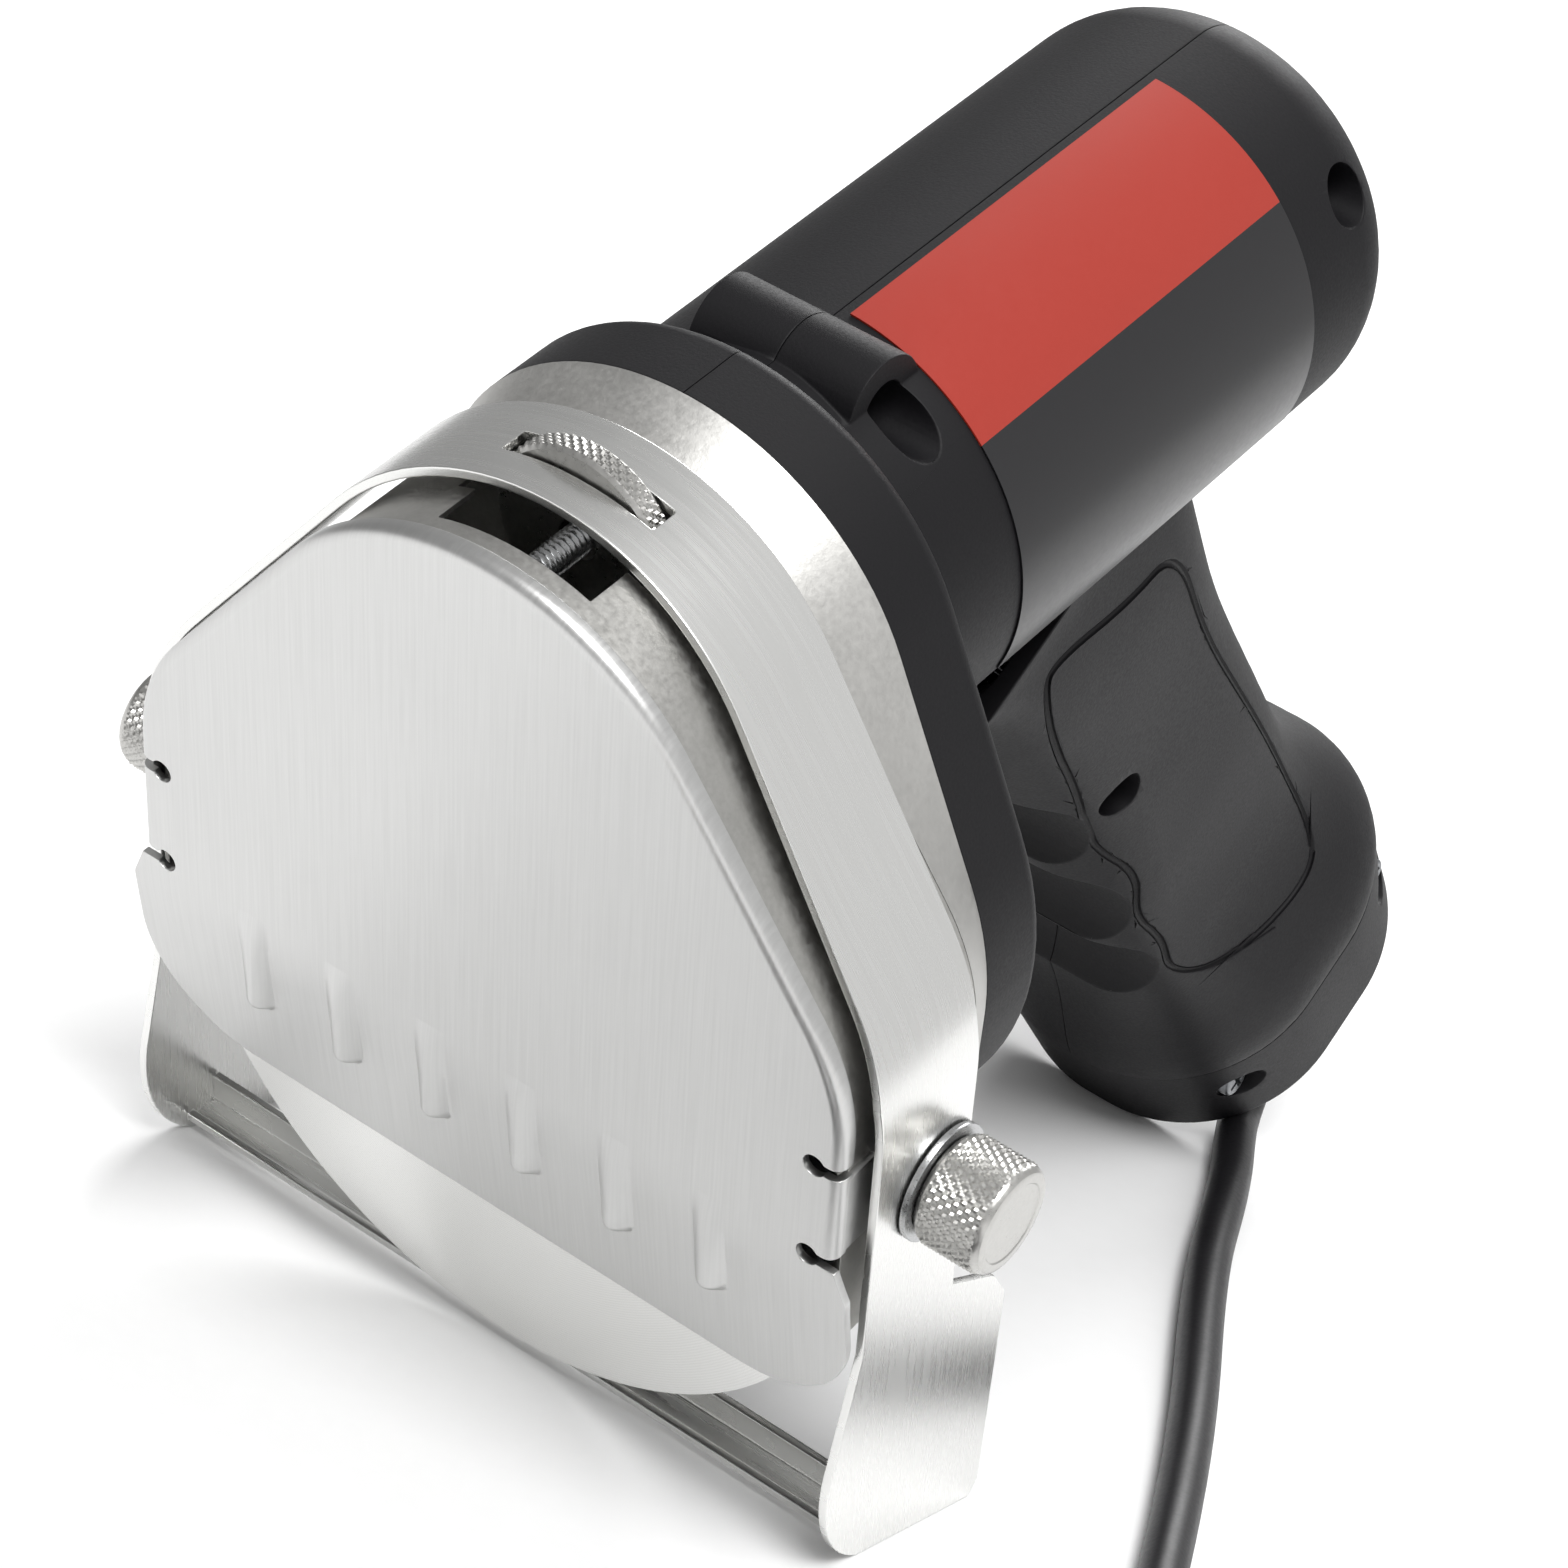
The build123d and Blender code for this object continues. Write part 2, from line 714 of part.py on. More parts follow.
def handle_form(skin, front_wall, reach):
    """Outer form of the handle, or with walls given the space inside it, open to the front."""
    inner_floor = (seam_down - grip_floor,) + grip_sections[-1][1:]
    last = inner_floor if skin else grip_sections[-1]
    with BuildPart() as tube:
        with BuildSketch(square(tube_start, 0, motor_height)):
            Circle(tube_radius - skin)
        extrude(amount=tube_start + skin - tube_end)
        fillet(tube.faces().sort_by(Axis(place(0, 0, 0), BACK))[-1].edges(), tube_rounding - skin)
    with BuildPart() as form:
        extrude(collar_egg(case_back - reach, skin, skin), amount=case_back - reach + skin - collar_back)
        if not skin:
            fillet(form.faces().sort_by(Axis(place(0, 0, 0), BACK))[-1].edges(), collar_rounding)
        add(tube.part)
        loft([grip_face(section, skin, front_wall) for section in grip_sections[:-1] + (last,)])
        add(bar(beside(-bridge_half_length + skin, screw_places[0][0], screw_places[0][1]),
                bridge_radius - skin, 2 * (bridge_half_length - skin)))
    return form.part


handle_outer = handle_form(0, 0, 0)
handle_inner = handle_form(shell_wall, grip_front_wall, overrun)

skirt_inset = 4.0
skirt_wall = 2.2
skirt_depth = 14.0
passage_width = 28.0
passage_length = 36.0
passage_rounding = 8.0
screw_post_radius = 5.5
seam_rounding = grip_sections[-1][4]
seam_width = grip_sections[-1][3]
seam_length = grip_sections[-1][2] - grip_sections[-1][1]
trigger_middle = (trigger_top + trigger_bottom) / 2
trigger_height = trigger_bottom - trigger_top
slot_rear = -14.0
head_rests = (bridge_head_rest, screw_head_rest, screw_head_rest)


def seam_outline(down, inset):
    """Oval of the handle's foot, set in by an amount."""
    with BuildSketch(grip_level(down)) as outline:
        RectangleRounded(seam_width - 2 * inset, seam_length - 2 * inset, seam_rounding - inset)
    return outline.sketch


with BuildPart() as handle:
    add(handle_outer)
    add(handle_inner, mode=Mode.SUBTRACT)
    extrude(seam_outline(seam_down, skirt_inset), amount=-skirt_depth)
    extrude(seam_outline(seam_down, skirt_inset + skirt_wall), amount=-skirt_depth - overrun,
            mode=Mode.SUBTRACT)
    with BuildSketch(grip_level(seam_down + overrun)):
        RectangleRounded(passage_width, passage_length, passage_rounding)
    extrude(amount=grip_floor + 2 * overrun, mode=Mode.SUBTRACT)
    for scoop_down in scoop_places:
        add(bar(grip_side(-seam_width, scoop_rear, scoop_down), scoop_radius, 2 * seam_width),
            mode=Mode.SUBTRACT)
    with BuildSketch(grip_side(0, (trigger_front + slot_rear) / 2, trigger_middle)):
        Rectangle(slot_rear - trigger_front + 2 * trigger_gap, trigger_height + 2 * trigger_gap)
    extrude(amount=trigger_half_width + trigger_gap, both=True, mode=Mode.SUBTRACT)

with BuildPart() as screw_posts:
    for depth, height in screw_places:
        add(bar(beside(-tube_radius, depth, height), screw_post_radius, 2 * tube_radius))
    add(handle_outer, mode=Mode.INTERSECT)


def handle_half(side):
    """One moulded half of the handle: the right one has the screw holes, the left their threads."""
    with BuildPart() as half:
        add(handle.part)
        add(screw_posts.part)
        for (depth, height), rest in zip(screw_places, head_rests):
            add(bar(beside(rest, depth, height), screw_recess, tube_radius), mode=Mode.SUBTRACT)
            add(bar(beside(rest - screw_length, depth, height), screw_radius, screw_length),
                mode=Mode.SUBTRACT)
        for rear in cap_screw_rears:
            for way in (-1, 1):
                spot = grip_side(way * cap_screw_rest, rear, seam_down + cap_screw_down)
                add(bar(spot, cap_screw_recess, way * seam_width), mode=Mode.SUBTRACT)
                add(bar(spot, cap_screw_radius, -way * cap_screw_length), mode=Mode.SUBTRACT)
        add(block(-side * tube_end if side > 0 else 0, 0 if side > 0 else tube_end, -tube_end, 2 * tube_end,
                  -2 * tube_end, tube_end), mode=Mode.SUBTRACT)
    return half.part


handle_right = handle_half(1)
handle_left = handle_half(-1)
handle_screws = Compound(children=[
    screw(beside(rest, depth, height), screw_head_radius, screw_head_thickness, screw_radius, screw_length)
    for (depth, height), rest in zip(screw_places, head_rests)
])

# Cap that closes the foot of the handle; the tool rests on its front edge
cap_top = seam_down + cap_gap
cap_foot = cap_top + cap_depth
cap_boss_radius = 4.6
gland_foot = grip_place(gland_across, gland_rear, cap_foot)
gland_mouth = gland_foot - UP * gland_proud
gland_plane = Plane(origin=gland_mouth, x_dir=RIGHT, z_dir=UP)
cord_gland = bar(gland_plane, gland_radius, gland_root + gland_proud)

with BuildPart() as cap_outside:
    extrude(seam_outline(cap_top, 0), amount=-cap_depth, taper=cap_taper)
    fillet(cap_outside.faces().sort_by(Axis(place(0, 0, 0), GRIP_UP))[0].edges(), cap_rounding)

with BuildPart() as cap_bosses:
    for rear in cap_screw_rears:
        for way in (-1, 1):
            add(bar(grip_side(way * (cap_screw_rest - cap_screw_thickness / 2), rear,
                              seam_down + cap_screw_down), cap_boss_radius, way * cap_boss_radius * 2))
    add(cap_outside.part, mode=Mode.INTERSECT)
    extrude(seam_outline(seam_down, skirt_inset - cap_gap), amount=-skirt_depth - cap_gap, mode=Mode.SUBTRACT)

with BuildPart() as base_cap:
    add(cap_outside.part)
    extrude(seam_outline(cap_top, cap_wall), amount=cap_wall - cap_depth, taper=cap_taper,
            mode=Mode.SUBTRACT)
    add(cap_bosses.part)
    for rear in cap_screw_rears:
        for way in (-1, 1):
            spot = grip_side(way * cap_screw_rest, rear, seam_down + cap_screw_down)
            add(bar(spot, cap_screw_recess, way * seam_width), mode=Mode.SUBTRACT)
            add(bar(spot, cap_screw_radius, -way * cap_screw_length), mode=Mode.SUBTRACT)
    add(cord_gland, mode=Mode.SUBTRACT)
    add(bar(gland_plane, gland_radius, -gland_root), mode=Mode.SUBTRACT)
    add(bar(Plane.XY, 8 * seam_width, -seam_width), mode=Mode.SUBTRACT)

cap_screws = Compound(children=[
    screw(Plane(origin=grip_place(way * cap_screw_rest, rear, seam_down + cap_screw_down),
                x_dir=GRIP_BACK, z_dir=RIGHT * way),
          cap_screw_head, cap_screw_thickness, cap_screw_radius, cap_screw_length)
    for rear in cap_screw_rears for way in (-1, 1)
])

# Trigger and switch
with BuildPart() as trigger:
    with BuildSketch(grip_side(0, (trigger_front + trigger_back) / 2, trigger_middle)):
        Rectangle(trigger_back - trigger_front, trigger_height)
        with Locations((trigger_front / 2 - trigger_back / 2 + trigger_dish_depth - trigger_dish, 0)):
            Circle(trigger_dish, mode=Mode.SUBTRACT)
    extrude(amount=trigger_half_width, both=True)
    add(bar(Plane(origin=grip_place(0, trigger_back, 0), x_dir=RIGHT, z_dir=GRIP_BACK),
            stem_radius, spring_well))
switch_depth = switch_back - switch_front
with BuildPart() as switch_body:
    with BuildSketch(grip_side(0, (switch_front + switch_back) / 2, 0)):
        Rectangle(switch_depth, 2 * switch_half_height)
    extrude(amount=switch_half_width, both=True)
    add(bar(Plane(origin=grip_place(0, switch_front, 0), x_dir=RIGHT, z_dir=GRIP_BACK),
            spring_radius + spring_wire, spring_well), mode=Mode.SUBTRACT)
with BuildPart() as terminal_block:
    with BuildSketch(grip_level(terminal_down, 0)):
        RectangleRounded(2 * terminal_half_width, 2 * terminal_half_height, terminal_half_height / 4)
    extrude(amount=-terminal_length / 2, both=True)

spring_length = switch_front - trigger_back - 2 * floor_clearance
spring_base = Plane(origin=grip_place(0, trigger_back + floor_clearance + spring_wire / 2, 0),
                    x_dir=RIGHT, z_dir=GRIP_BACK)
spring_pitch = (spring_length - spring_wire) / spring_turns
with BuildPart() as trigger_spring:
    with BuildLine():
        spring_line = Helix(spring_pitch, spring_pitch * spring_turns, spring_radius,
                            center=spring_base.origin, direction=GRIP_BACK)
    with BuildSketch(Plane(origin=spring_line @ 0, z_dir=spring_line % 0)):
        Circle(spring_wire / 2)
    sweep(path=spring_line, is_frenet=True)

# Thickness gauge
gauge_crown = crown_height + gauge_crown_radius
gauge_foot = -90.0
gauge_foot_corner = 5.0
gauge_front_end = -2.0
gauge_back_end = 37.0
paddle_throat_height = -14.0
paddle_waist = (0.3, -30.5)
paddle_swell = (-0.2, -41.0)
notch_inner = (22.2, -17.1)
notch_outer = (31.3, -23.6)
paddle_top = (34.4, -29.1)
paddle_back = 33.4
paddle_foot_rise = 2.0
strap_shoulder = 26.0
paddle_rounding = 3.0
same_point = 0.001


def gauge_egg(depth, inset, drop):
    """Outline of the gauge's strap with its arms, open below the table."""
    return egg(square(depth), gauge_crown_radius - inset, crown_height, gauge_lean,
               gauge_shoulder - inset, gauge_half_width - inset, gauge_foot_corner, gauge_foot - drop)


beam_floor = table_line(beam_front) + beam_clear
with BuildPart() as gauge_frame:
    extrude(gauge_egg(gauge_front_end, 0, 0), amount=gauge_front_end - gauge_back_end)
    extrude(gauge_egg(gauge_front_end, gauge_sheet, overrun), amount=gauge_front_end - gauge_back_end,
            mode=Mode.SUBTRACT)
    with BuildSketch(beside(0)) as gauge_profile:
        with BuildLine():
            Polyline(
                (foot_front, table_line(foot_front)),
                (foot_back, table_line(foot_back)),
                (paddle_back, table_line(foot_back) + paddle_foot_rise),
                paddle_top,
                notch_outer,
                notch_inner,
                (arm_back, strap_shoulder),
                (strap_back_top, gauge_crown),
                (strap_back_top, gauge_crown + overrun),
                (strap_front_top, gauge_crown + overrun),
                (strap_front_top, gauge_crown),
                (arm_front, strap_shoulder),
                (arm_front, paddle_throat_height),
                paddle_waist,
            )
            ThreePointArc(paddle_waist, paddle_swell, (foot_front, table_line(foot_front)))
        make_face()
        fillet(gauge_profile.vertices().filter_by(
            lambda v: min(dist((v.X, v.Y), paddle_top), dist((v.X, v.Y), notch_outer)) < same_point),
            paddle_rounding)
    extrude(amount=gauge_half_width + overrun, both=True, mode=Mode.INTERSECT)
    with BuildSketch(beside(0, beam_front + beam_width / 2, beam_floor + beam_wall_rise / 2)) as beam:
        Rectangle(beam_width, beam_wall_rise)
        fillet(beam.vertices().group_by(Axis.Y)[0], beam_bend)
        with Locations((0, gauge_sheet)):
            Rectangle(beam_width - 2 * gauge_sheet, beam_wall_rise, mode=Mode.SUBTRACT)
        with Locations((-beam_width / 2, beam_wall_rise / 2)):
            Rectangle(2.5 * gauge_sheet, 2 * (beam_wall_rise - beam_lip_rise), mode=Mode.SUBTRACT)
    extrude(amount=gauge_half_width - gauge_sheet, both=True)
    add(block(-slot_half_length, slot_half_length, slot_front, slot_back, rod_height,
              gauge_crown + overrun), mode=Mode.SUBTRACT)
    add(bar(beside(-gauge_half_width - overrun, pivot_depth, pivot_height), pivot_radius + pivot_gap,
            2 * (gauge_half_width + overrun)), mode=Mode.SUBTRACT)

# Studs that the gauge tilts on, and the knobs that clamp it
gauge_inner = gauge_half_width - gauge_sheet
cup_wall_inner = cup_half_width - cup_sheet
with BuildPart() as stud_right:
    add(bar(beside(cup_wall_inner - stud_head_thickness, pivot_depth, pivot_height),
            stud_head_radius, stud_head_thickness))
    add(bar(beside(cup_wall_inner, pivot_depth, pivot_height), pivot_radius, stud_end - cup_wall_inner))
    add(bar(beside(cup_half_width, pivot_depth, pivot_height), bush_radius,
            gauge_inner - bush_gap - cup_half_width))
pivot_studs = both_sides(stud_right.part)


def knob(side):
    """Knurled knob with a blind hole for its stud."""
    with BuildPart() as piece:
        add(bar(beside(side * knob_inner, pivot_depth, pivot_height), knob_radius,
                side * (knob_outer - knob_inner)))
        chamfer(piece.edges().filter_by(GeomType.CIRCLE), knob_chamfer)
        add(bar(beside(side * knob_inner, pivot_depth, pivot_height), pivot_radius + pivot_gap,
                side * (stud_end + washer_gap - knob_inner)), mode=Mode.SUBTRACT)
    return piece.part


def knob_washer(side):
    """Flat washer between the knob and the gauge's arm."""
    with BuildPart() as piece:
        with BuildSketch(beside(side * (gauge_half_width + washer_gap), pivot_depth, pivot_height)):
            Circle(washer_radius)
            Circle(pivot_radius + pivot_gap, mode=Mode.SUBTRACT)
        extrude(amount=side * washer_thickness)
    return piece.part


# Thumb wheel and the rod that it climbs along
wheel_middle = (slot_front + slot_back) / 2
wheel_front = wheel_middle - wheel_thickness / 2
wheel_back = wheel_middle + wheel_thickness / 2
thumb_wheel = turned((
    (wheel_front, wheel_bore), (wheel_front, wheel_radius - wheel_chamfer),
    (wheel_front + wheel_chamfer, wheel_radius), (wheel_back - wheel_chamfer, wheel_radius),
    (wheel_back, wheel_radius - wheel_chamfer), (wheel_back, wheel_bore),
), rod_height)
threaded_rod = ring(rod_front, rod_back, 0, rod_radius, rod_height)

# Bare rating plate in two colours


def label_patch(low, high):
    """Thin patch on the motor tube between two angles, measured up from its right side."""
    inner = tube_radius + label_gap
    outer = inner + label_thickness
    middle = (low + high) / 2
    corners = [(radius * cos(radians(angle)), radius * sin(radians(angle)))
               for radius, angle in ((inner, low), (outer, low), (outer, high), (inner, high))]
    with BuildPart() as piece:
        with BuildSketch(square(plate_label_front, 0, motor_height)):
            with BuildLine():
                Line(corners[0], corners[1])
                ThreePointArc(corners[1], (outer * cos(radians(middle)), outer * sin(radians(middle))),
                              corners[2])
                Line(corners[2], corners[3])
                ThreePointArc(corners[3], (inner * cos(radians(middle)), inner * sin(radians(middle))),
                              corners[0])
            make_face()
        extrude(amount=plate_label_front - plate_label_back)
    return piece.part


label_upper = label_patch(label_split, label_top)
label_lower = label_patch(label_bottom, label_split)

# Cord: out of the cap, down on to the table and away, into a coil with its plug beside it
table_rest = cord_radius + floor_clearance
exit_run = 4.6
route = [
    tuple(gland_mouth),
    tuple(gland_mouth - UP * exit_run),
    (16.7, 111.4, 6.4),
    (18.1, 108.2, table_rest),
    (21.7, 99.9, table_rest),
    (29.4, 83.7, table_rest),
    (41.6, 52.0, table_rest),
    (66.4, 1.7, table_rest),
    (88.4, -52.4, table_rest),
    (112.4, -103.0, table_rest),
    (130.0, -146.6, table_rest),
]


def heading(start, end):
    """Unit vector from one point to the next."""
    return (Vector(*end) - Vector(*start)).normalized()


def corner_radii(points):
    """Radius of the bend at each inner point of a route, as large as its two runs allow."""
    run_share = 0.45
    radii = []
    for before, here, after in zip(points, points[1:], points[2:]):
        turn = radians(heading(before, here).get_angle(heading(here, after)))
        radii.append(run_share * min(dist(before, here), dist(here, after)) / tan(turn / 2))
    return radii


def lead(points, name):
    """Tube along a route of runs and bends; prints its radii and checks its volume."""
    radii = corner_radii(points)
    with BuildPart() as piece:
        with BuildLine():
            path = FilletPolyline(*points, radius=radii)
        with BuildSketch(Plane(origin=path @ 0, z_dir=path % 0)):
            Circle(cord_radius)
        sweep(path=path)
    expected = pi * cord_radius ** 2 * path.length
    print(name, "bend radii", [round(radius, 1) for radius in radii], "length", round(path.length, 1),
          "volume over section times length", round(piece.part.volume / expected, 4))
    return piece.part, path


cord, cord_path = lead(route, "cord")

# Coil: the turns spiral in on the table, climb in one half turn, and spiral out on top
coil_ahead = heading(route[-2], route[-1])
coil_side = Vector(-coil_ahead.Y, coil_ahead.X, 0) * -1
coil_pitch = 2 * cord_radius + coil_gap
coil_middle = Vector(*route[-1]) + coil_side * coil_start_radius
climb_turn = coil_half_turns // 2
coil_radii = [coil_start_radius]
for number in range(coil_half_turns):
    step = -coil_pitch / 2 if number <= climb_turn else coil_pitch / 2
    coil_radii.append(coil_radii[-1] + step * (2 if number == climb_turn + 1 else 1))
coil_points = [
    coil_middle - coil_side * (radius if number % 2 == 0 else -radius)
    + Vector(0, 0, coil_pitch if number > climb_turn else 0)
    for number, radius in enumerate(coil_radii)
]
with BuildPart() as cord_coil:
    with BuildLine() as coil_path:
        for number, (start, end) in enumerate(zip(coil_points, coil_points[1:])):
            way = coil_ahead if number % 2 == 0 else -coil_ahead
            middle = (start + end) / 2
            ThreePointArc(start, middle + way * ((end - start).length / 2), end)
        Line(coil_points[-1], coil_points[-1] + coil_ahead * 2 * cord_radius)
    coil_wire = coil_path.wires()[0]
    with BuildSketch(Plane(origin=coil_points[0], z_dir=coil_ahead)):
        Circle(cord_radius)
    sweep(path=coil_wire)
coil_length = coil_wire.length


def least_gap(path):
    """Least clear space between stretches of one tube that aren't neighbours, measured on points."""
    step = cord_radius
    count = int(path.length / step)
    points = [path.position_at(number / count) for number in range(count + 1)]
    apart = int(3 * pi * cord_radius / step) + 1
    return min(
        (points[first] - points[second]).length
        for first in range(count + 1) for second in range(first + apart, count + 1)
    ) - 2 * cord_radius


print("coil half-turn radii", coil_radii, "least gap", round(least_gap(coil_wire), 2),
      "volume over section times length",
      round(cord_coil.part.volume / (pi * cord_radius ** 2 * coil_length), 4))

# Free stretch from the coil: it turns back and climbs to the plug, which lies on the turns
tail_run = 16.0
tail_turn = 30.0
tail_start = coil_points[-1] + coil_ahead * 2 * cord_radius
plug_bottom = table_rest + coil_pitch + cord_radius + floor_clearance
tail_climb = plug_bottom + plug_height / 2 - tail_start.Z
tail_points = [tail_start]
for number, share in enumerate((0, 0.45, 0.55, 0)):
    tail_way = coil_ahead.rotate(Axis.Z, -tail_turn * number)
    tail_points.append(tail_points[-1] + tail_way * tail_run + Vector(0, 0, tail_climb * share))
tail_end = tail_points[-1]
tail_ahead = coil_side
cord_tail, tail_path = lead(tail_points, "cord_tail")
print("whole cord", round(cord_path.length + coil_length + tail_path.length, 1))

plug_taper_length = 12.0
plug_tail_radius = 5.5
plug_tail_length = 8.0
plug_plane = Plane(origin=tail_end, x_dir=Vector(0, 0, 1).cross(tail_ahead), z_dir=tail_ahead)
plug_face = plug_plane.offset(plug_tail_length + plug_length)


def plug_section(plane, width, height, rounding):
    """Rounded cross-section of the plug."""
    with BuildSketch(plane) as outline:
        RectangleRounded(width, height, rounding)
    return outline.sketch.face()


plug_waist_share = 0.62
plug_shoulder = plug_section(plug_plane.offset(plug_tail_length + plug_taper_length), plug_width, plug_height,
                             plug_rounding)
with BuildPart() as plug_body:
    add(bar(plug_plane, plug_tail_radius, plug_tail_length))
    loft((plug_section(plug_plane.offset(plug_tail_length), plug_width * plug_waist_share,
                       plug_height * plug_waist_share, plug_rounding * plug_waist_share), plug_shoulder))
    extrude(plug_shoulder, amount=plug_length - plug_taper_length)
with BuildPart() as plug_pins:
    with BuildSketch(plug_face):
        with GridLocations(plug_pin_spacing, 0, 2, 1):
            Circle(plug_pin_radius)
    extrude(amount=plug_pin_length)
    pin_tips = plug_pins.faces().group_by(Axis(tail_end, tail_ahead))[-1]
    chamfer(pin_tips.edges(), plug_pin_chamfer)

pieces = {
    "blade": blade, "blade_nut": blade_nut.part, "blade_spindle": blade_spindle,
    "blade_gear": blade_gear, "idler_gear": idler_gear, "motor_pinion": motor_pinion,
    "idler_pin": idler_pin, "front_guard": front_guard.part, "blade_housing": blade_housing.part,
    "gear_case": gear_case.part, "bearing_plate": bearing_plate.part,
    "front_spindle_bearing": front_spindle_bearing, "rear_spindle_bearing": rear_spindle_bearing,
    "front_motor_bearing": front_motor_bearing, "rear_motor_bearing": rear_motor_bearing,
    "case_screws": case_screws, "stator": stator, "field_windings": field_windings,
    "rotor_shaft": rotor_shaft, "armature": armature.part, "commutator": commutator,
    "cooling_fan": cooling_fan.part, "brushes": brushes, "brush_holders": brush_holders,
    "motor_bracket": motor_bracket, "handle_right": handle_right, "handle_left": handle_left,
    "handle_screws": handle_screws, "base_cap": base_cap.part, "cap_screws": cap_screws,
    "cord_gland": cord_gland, "trigger": trigger.part, "trigger_spring": trigger_spring.part,
    "switch_body": switch_body.part, "terminal_block": terminal_block.part,
    "gauge_frame": gauge_frame.part, "pivot_studs": pivot_studs, "knob_right": knob(1),
    "knob_left": knob(-1), "washer_right": knob_washer(1), "washer_left": knob_washer(-1),
    "thumb_wheel": thumb_wheel, "threaded_rod": threaded_rod, "label_upper": label_upper,
    "label_lower": label_lower, "cord": cord, "cord_coil": cord_coil.part, "cord_tail": cord_tail,
    "plug_body": plug_body.part, "plug_pins": plug_pins.part,
}

os.makedirs("parts", exist_ok=True)
for name, solid in pieces.items():
    solid.label = name
    export_step(solid, f"parts/{name}.step")
    size = solid.bounding_box()
    print(f"{name:24s} volume {solid.volume:10.1f}  y {size.min.Y:7.1f}..{size.max.Y:7.1f}"
          f"  z {size.min.Z:7.1f}..{size.max.Z:7.1f}  valid {solid.is_valid}")
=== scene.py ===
# %% [markdown]
# # An electric kebab slicer, dressed for its picture
# The solids of the tool come ready made and in place, as a frame that nothing here moves.
# This lesson gives them their finishes, and builds again the pieces whose beauty is in fine
# work that a plain solid leaves out: pressed ribs, knurls, a screw thread, a moulded groove
# and the lie of the cord. Lengths are written in millimetres and turned to metres on the way.

# %% Load the frame and keep its box
import json
from math import cos, pi, radians, sin, sqrt
import bmesh
import bpy
from mathutils import Matrix, Vector
from mathutils.bvhtree import BVHTree

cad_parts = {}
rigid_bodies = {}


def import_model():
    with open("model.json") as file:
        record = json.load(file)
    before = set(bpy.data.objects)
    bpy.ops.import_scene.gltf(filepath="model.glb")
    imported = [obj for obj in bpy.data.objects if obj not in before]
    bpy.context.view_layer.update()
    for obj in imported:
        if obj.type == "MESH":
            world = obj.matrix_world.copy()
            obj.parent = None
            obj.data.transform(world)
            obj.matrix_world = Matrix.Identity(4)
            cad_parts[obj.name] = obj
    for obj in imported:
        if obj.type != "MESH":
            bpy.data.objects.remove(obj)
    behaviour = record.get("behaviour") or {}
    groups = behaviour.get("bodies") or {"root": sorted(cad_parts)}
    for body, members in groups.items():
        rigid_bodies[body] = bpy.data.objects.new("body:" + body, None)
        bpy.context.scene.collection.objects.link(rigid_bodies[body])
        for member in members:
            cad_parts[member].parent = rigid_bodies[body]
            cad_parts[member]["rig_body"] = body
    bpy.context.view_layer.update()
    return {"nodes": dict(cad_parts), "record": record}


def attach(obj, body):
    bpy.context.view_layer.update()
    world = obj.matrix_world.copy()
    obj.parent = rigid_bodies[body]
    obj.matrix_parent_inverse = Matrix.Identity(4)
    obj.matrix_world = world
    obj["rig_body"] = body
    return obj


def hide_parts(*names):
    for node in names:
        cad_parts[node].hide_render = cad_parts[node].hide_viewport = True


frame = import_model()
nodes = frame["nodes"]

# %% [markdown]
# ## The tool's own directions
# The tool rests with its nose down, so nothing on it is level. It is easiest to think in its
# own directions: across it, back along its blade's axis, and up square to that. The handle
# is raked again from there, and has its own pair of directions.

# %% Directions and places
MM = 0.001
LEAN = radians(27.5)
RAKE = radians(28)
RIGHT = Vector((1, 0, 0))
BACK = Vector((0, cos(LEAN), sin(LEAN)))
UP = Vector((0, -sin(LEAN), cos(LEAN)))
GRIP_UP = UP * cos(RAKE) - BACK * sin(RAKE)
GRIP_BACK = BACK * cos(RAKE) + UP * sin(RAKE)
BLADE_CENTRE = Vector((0, -95.0, 43.95))
HANDLE_DEPTH = 115.2


def place(across, depth, height):
    """A point of the tool in metres, from millimetres across, back and up from the blade's centre."""
    return (RIGHT * across + BACK * depth + UP * height + BLADE_CENTRE) * MM


def grip_place(across, rear, down):
    """A point of the handle in metres: down its raked line, and to the rear of it."""
    return place(across, HANDLE_DEPTH, 0) + (GRIP_BACK * rear - GRIP_UP * down) * MM


print("blade centre", place(0, 0, 0)[:], "foot of the grip", grip_place(0, 0, 130)[:])

# %% [markdown]
# ## The camera
# A long lens looks down at the tool from in front and to its right, and leans a little to
# one side. The place and the three directions of the view were found by matching known
# points of the tool, such as the guard's corners and the knobs, with the picture.

# %% Camera
FOCAL_SHARE = 4712.4 / 1568
SENSOR = 36.0
camera = bpy.data.objects.new("camera", bpy.data.cameras.new("camera"))
bpy.context.scene.collection.objects.link(camera)
bpy.context.scene.camera = camera
view_right = Vector((0.79217, 0.51589, 0.32606)).normalized()
view_ahead = Vector((-0.41602, 0.84736, -0.32999)).normalized()
view_up = view_right.cross(view_ahead).normalized()
camera.matrix_world = Matrix.Translation(Vector((241.5, -536.2, 265.7)) * MM) @ Matrix(
    (view_right, view_up, -view_ahead)).transposed().to_4x4()
camera.data.sensor_width = SENSOR
camera.data.lens = FOCAL_SHARE * SENSOR
camera.data.clip_start = 0.05
camera.data.clip_end = 60.0
print("lens", round(camera.data.lens, 2), "mm")
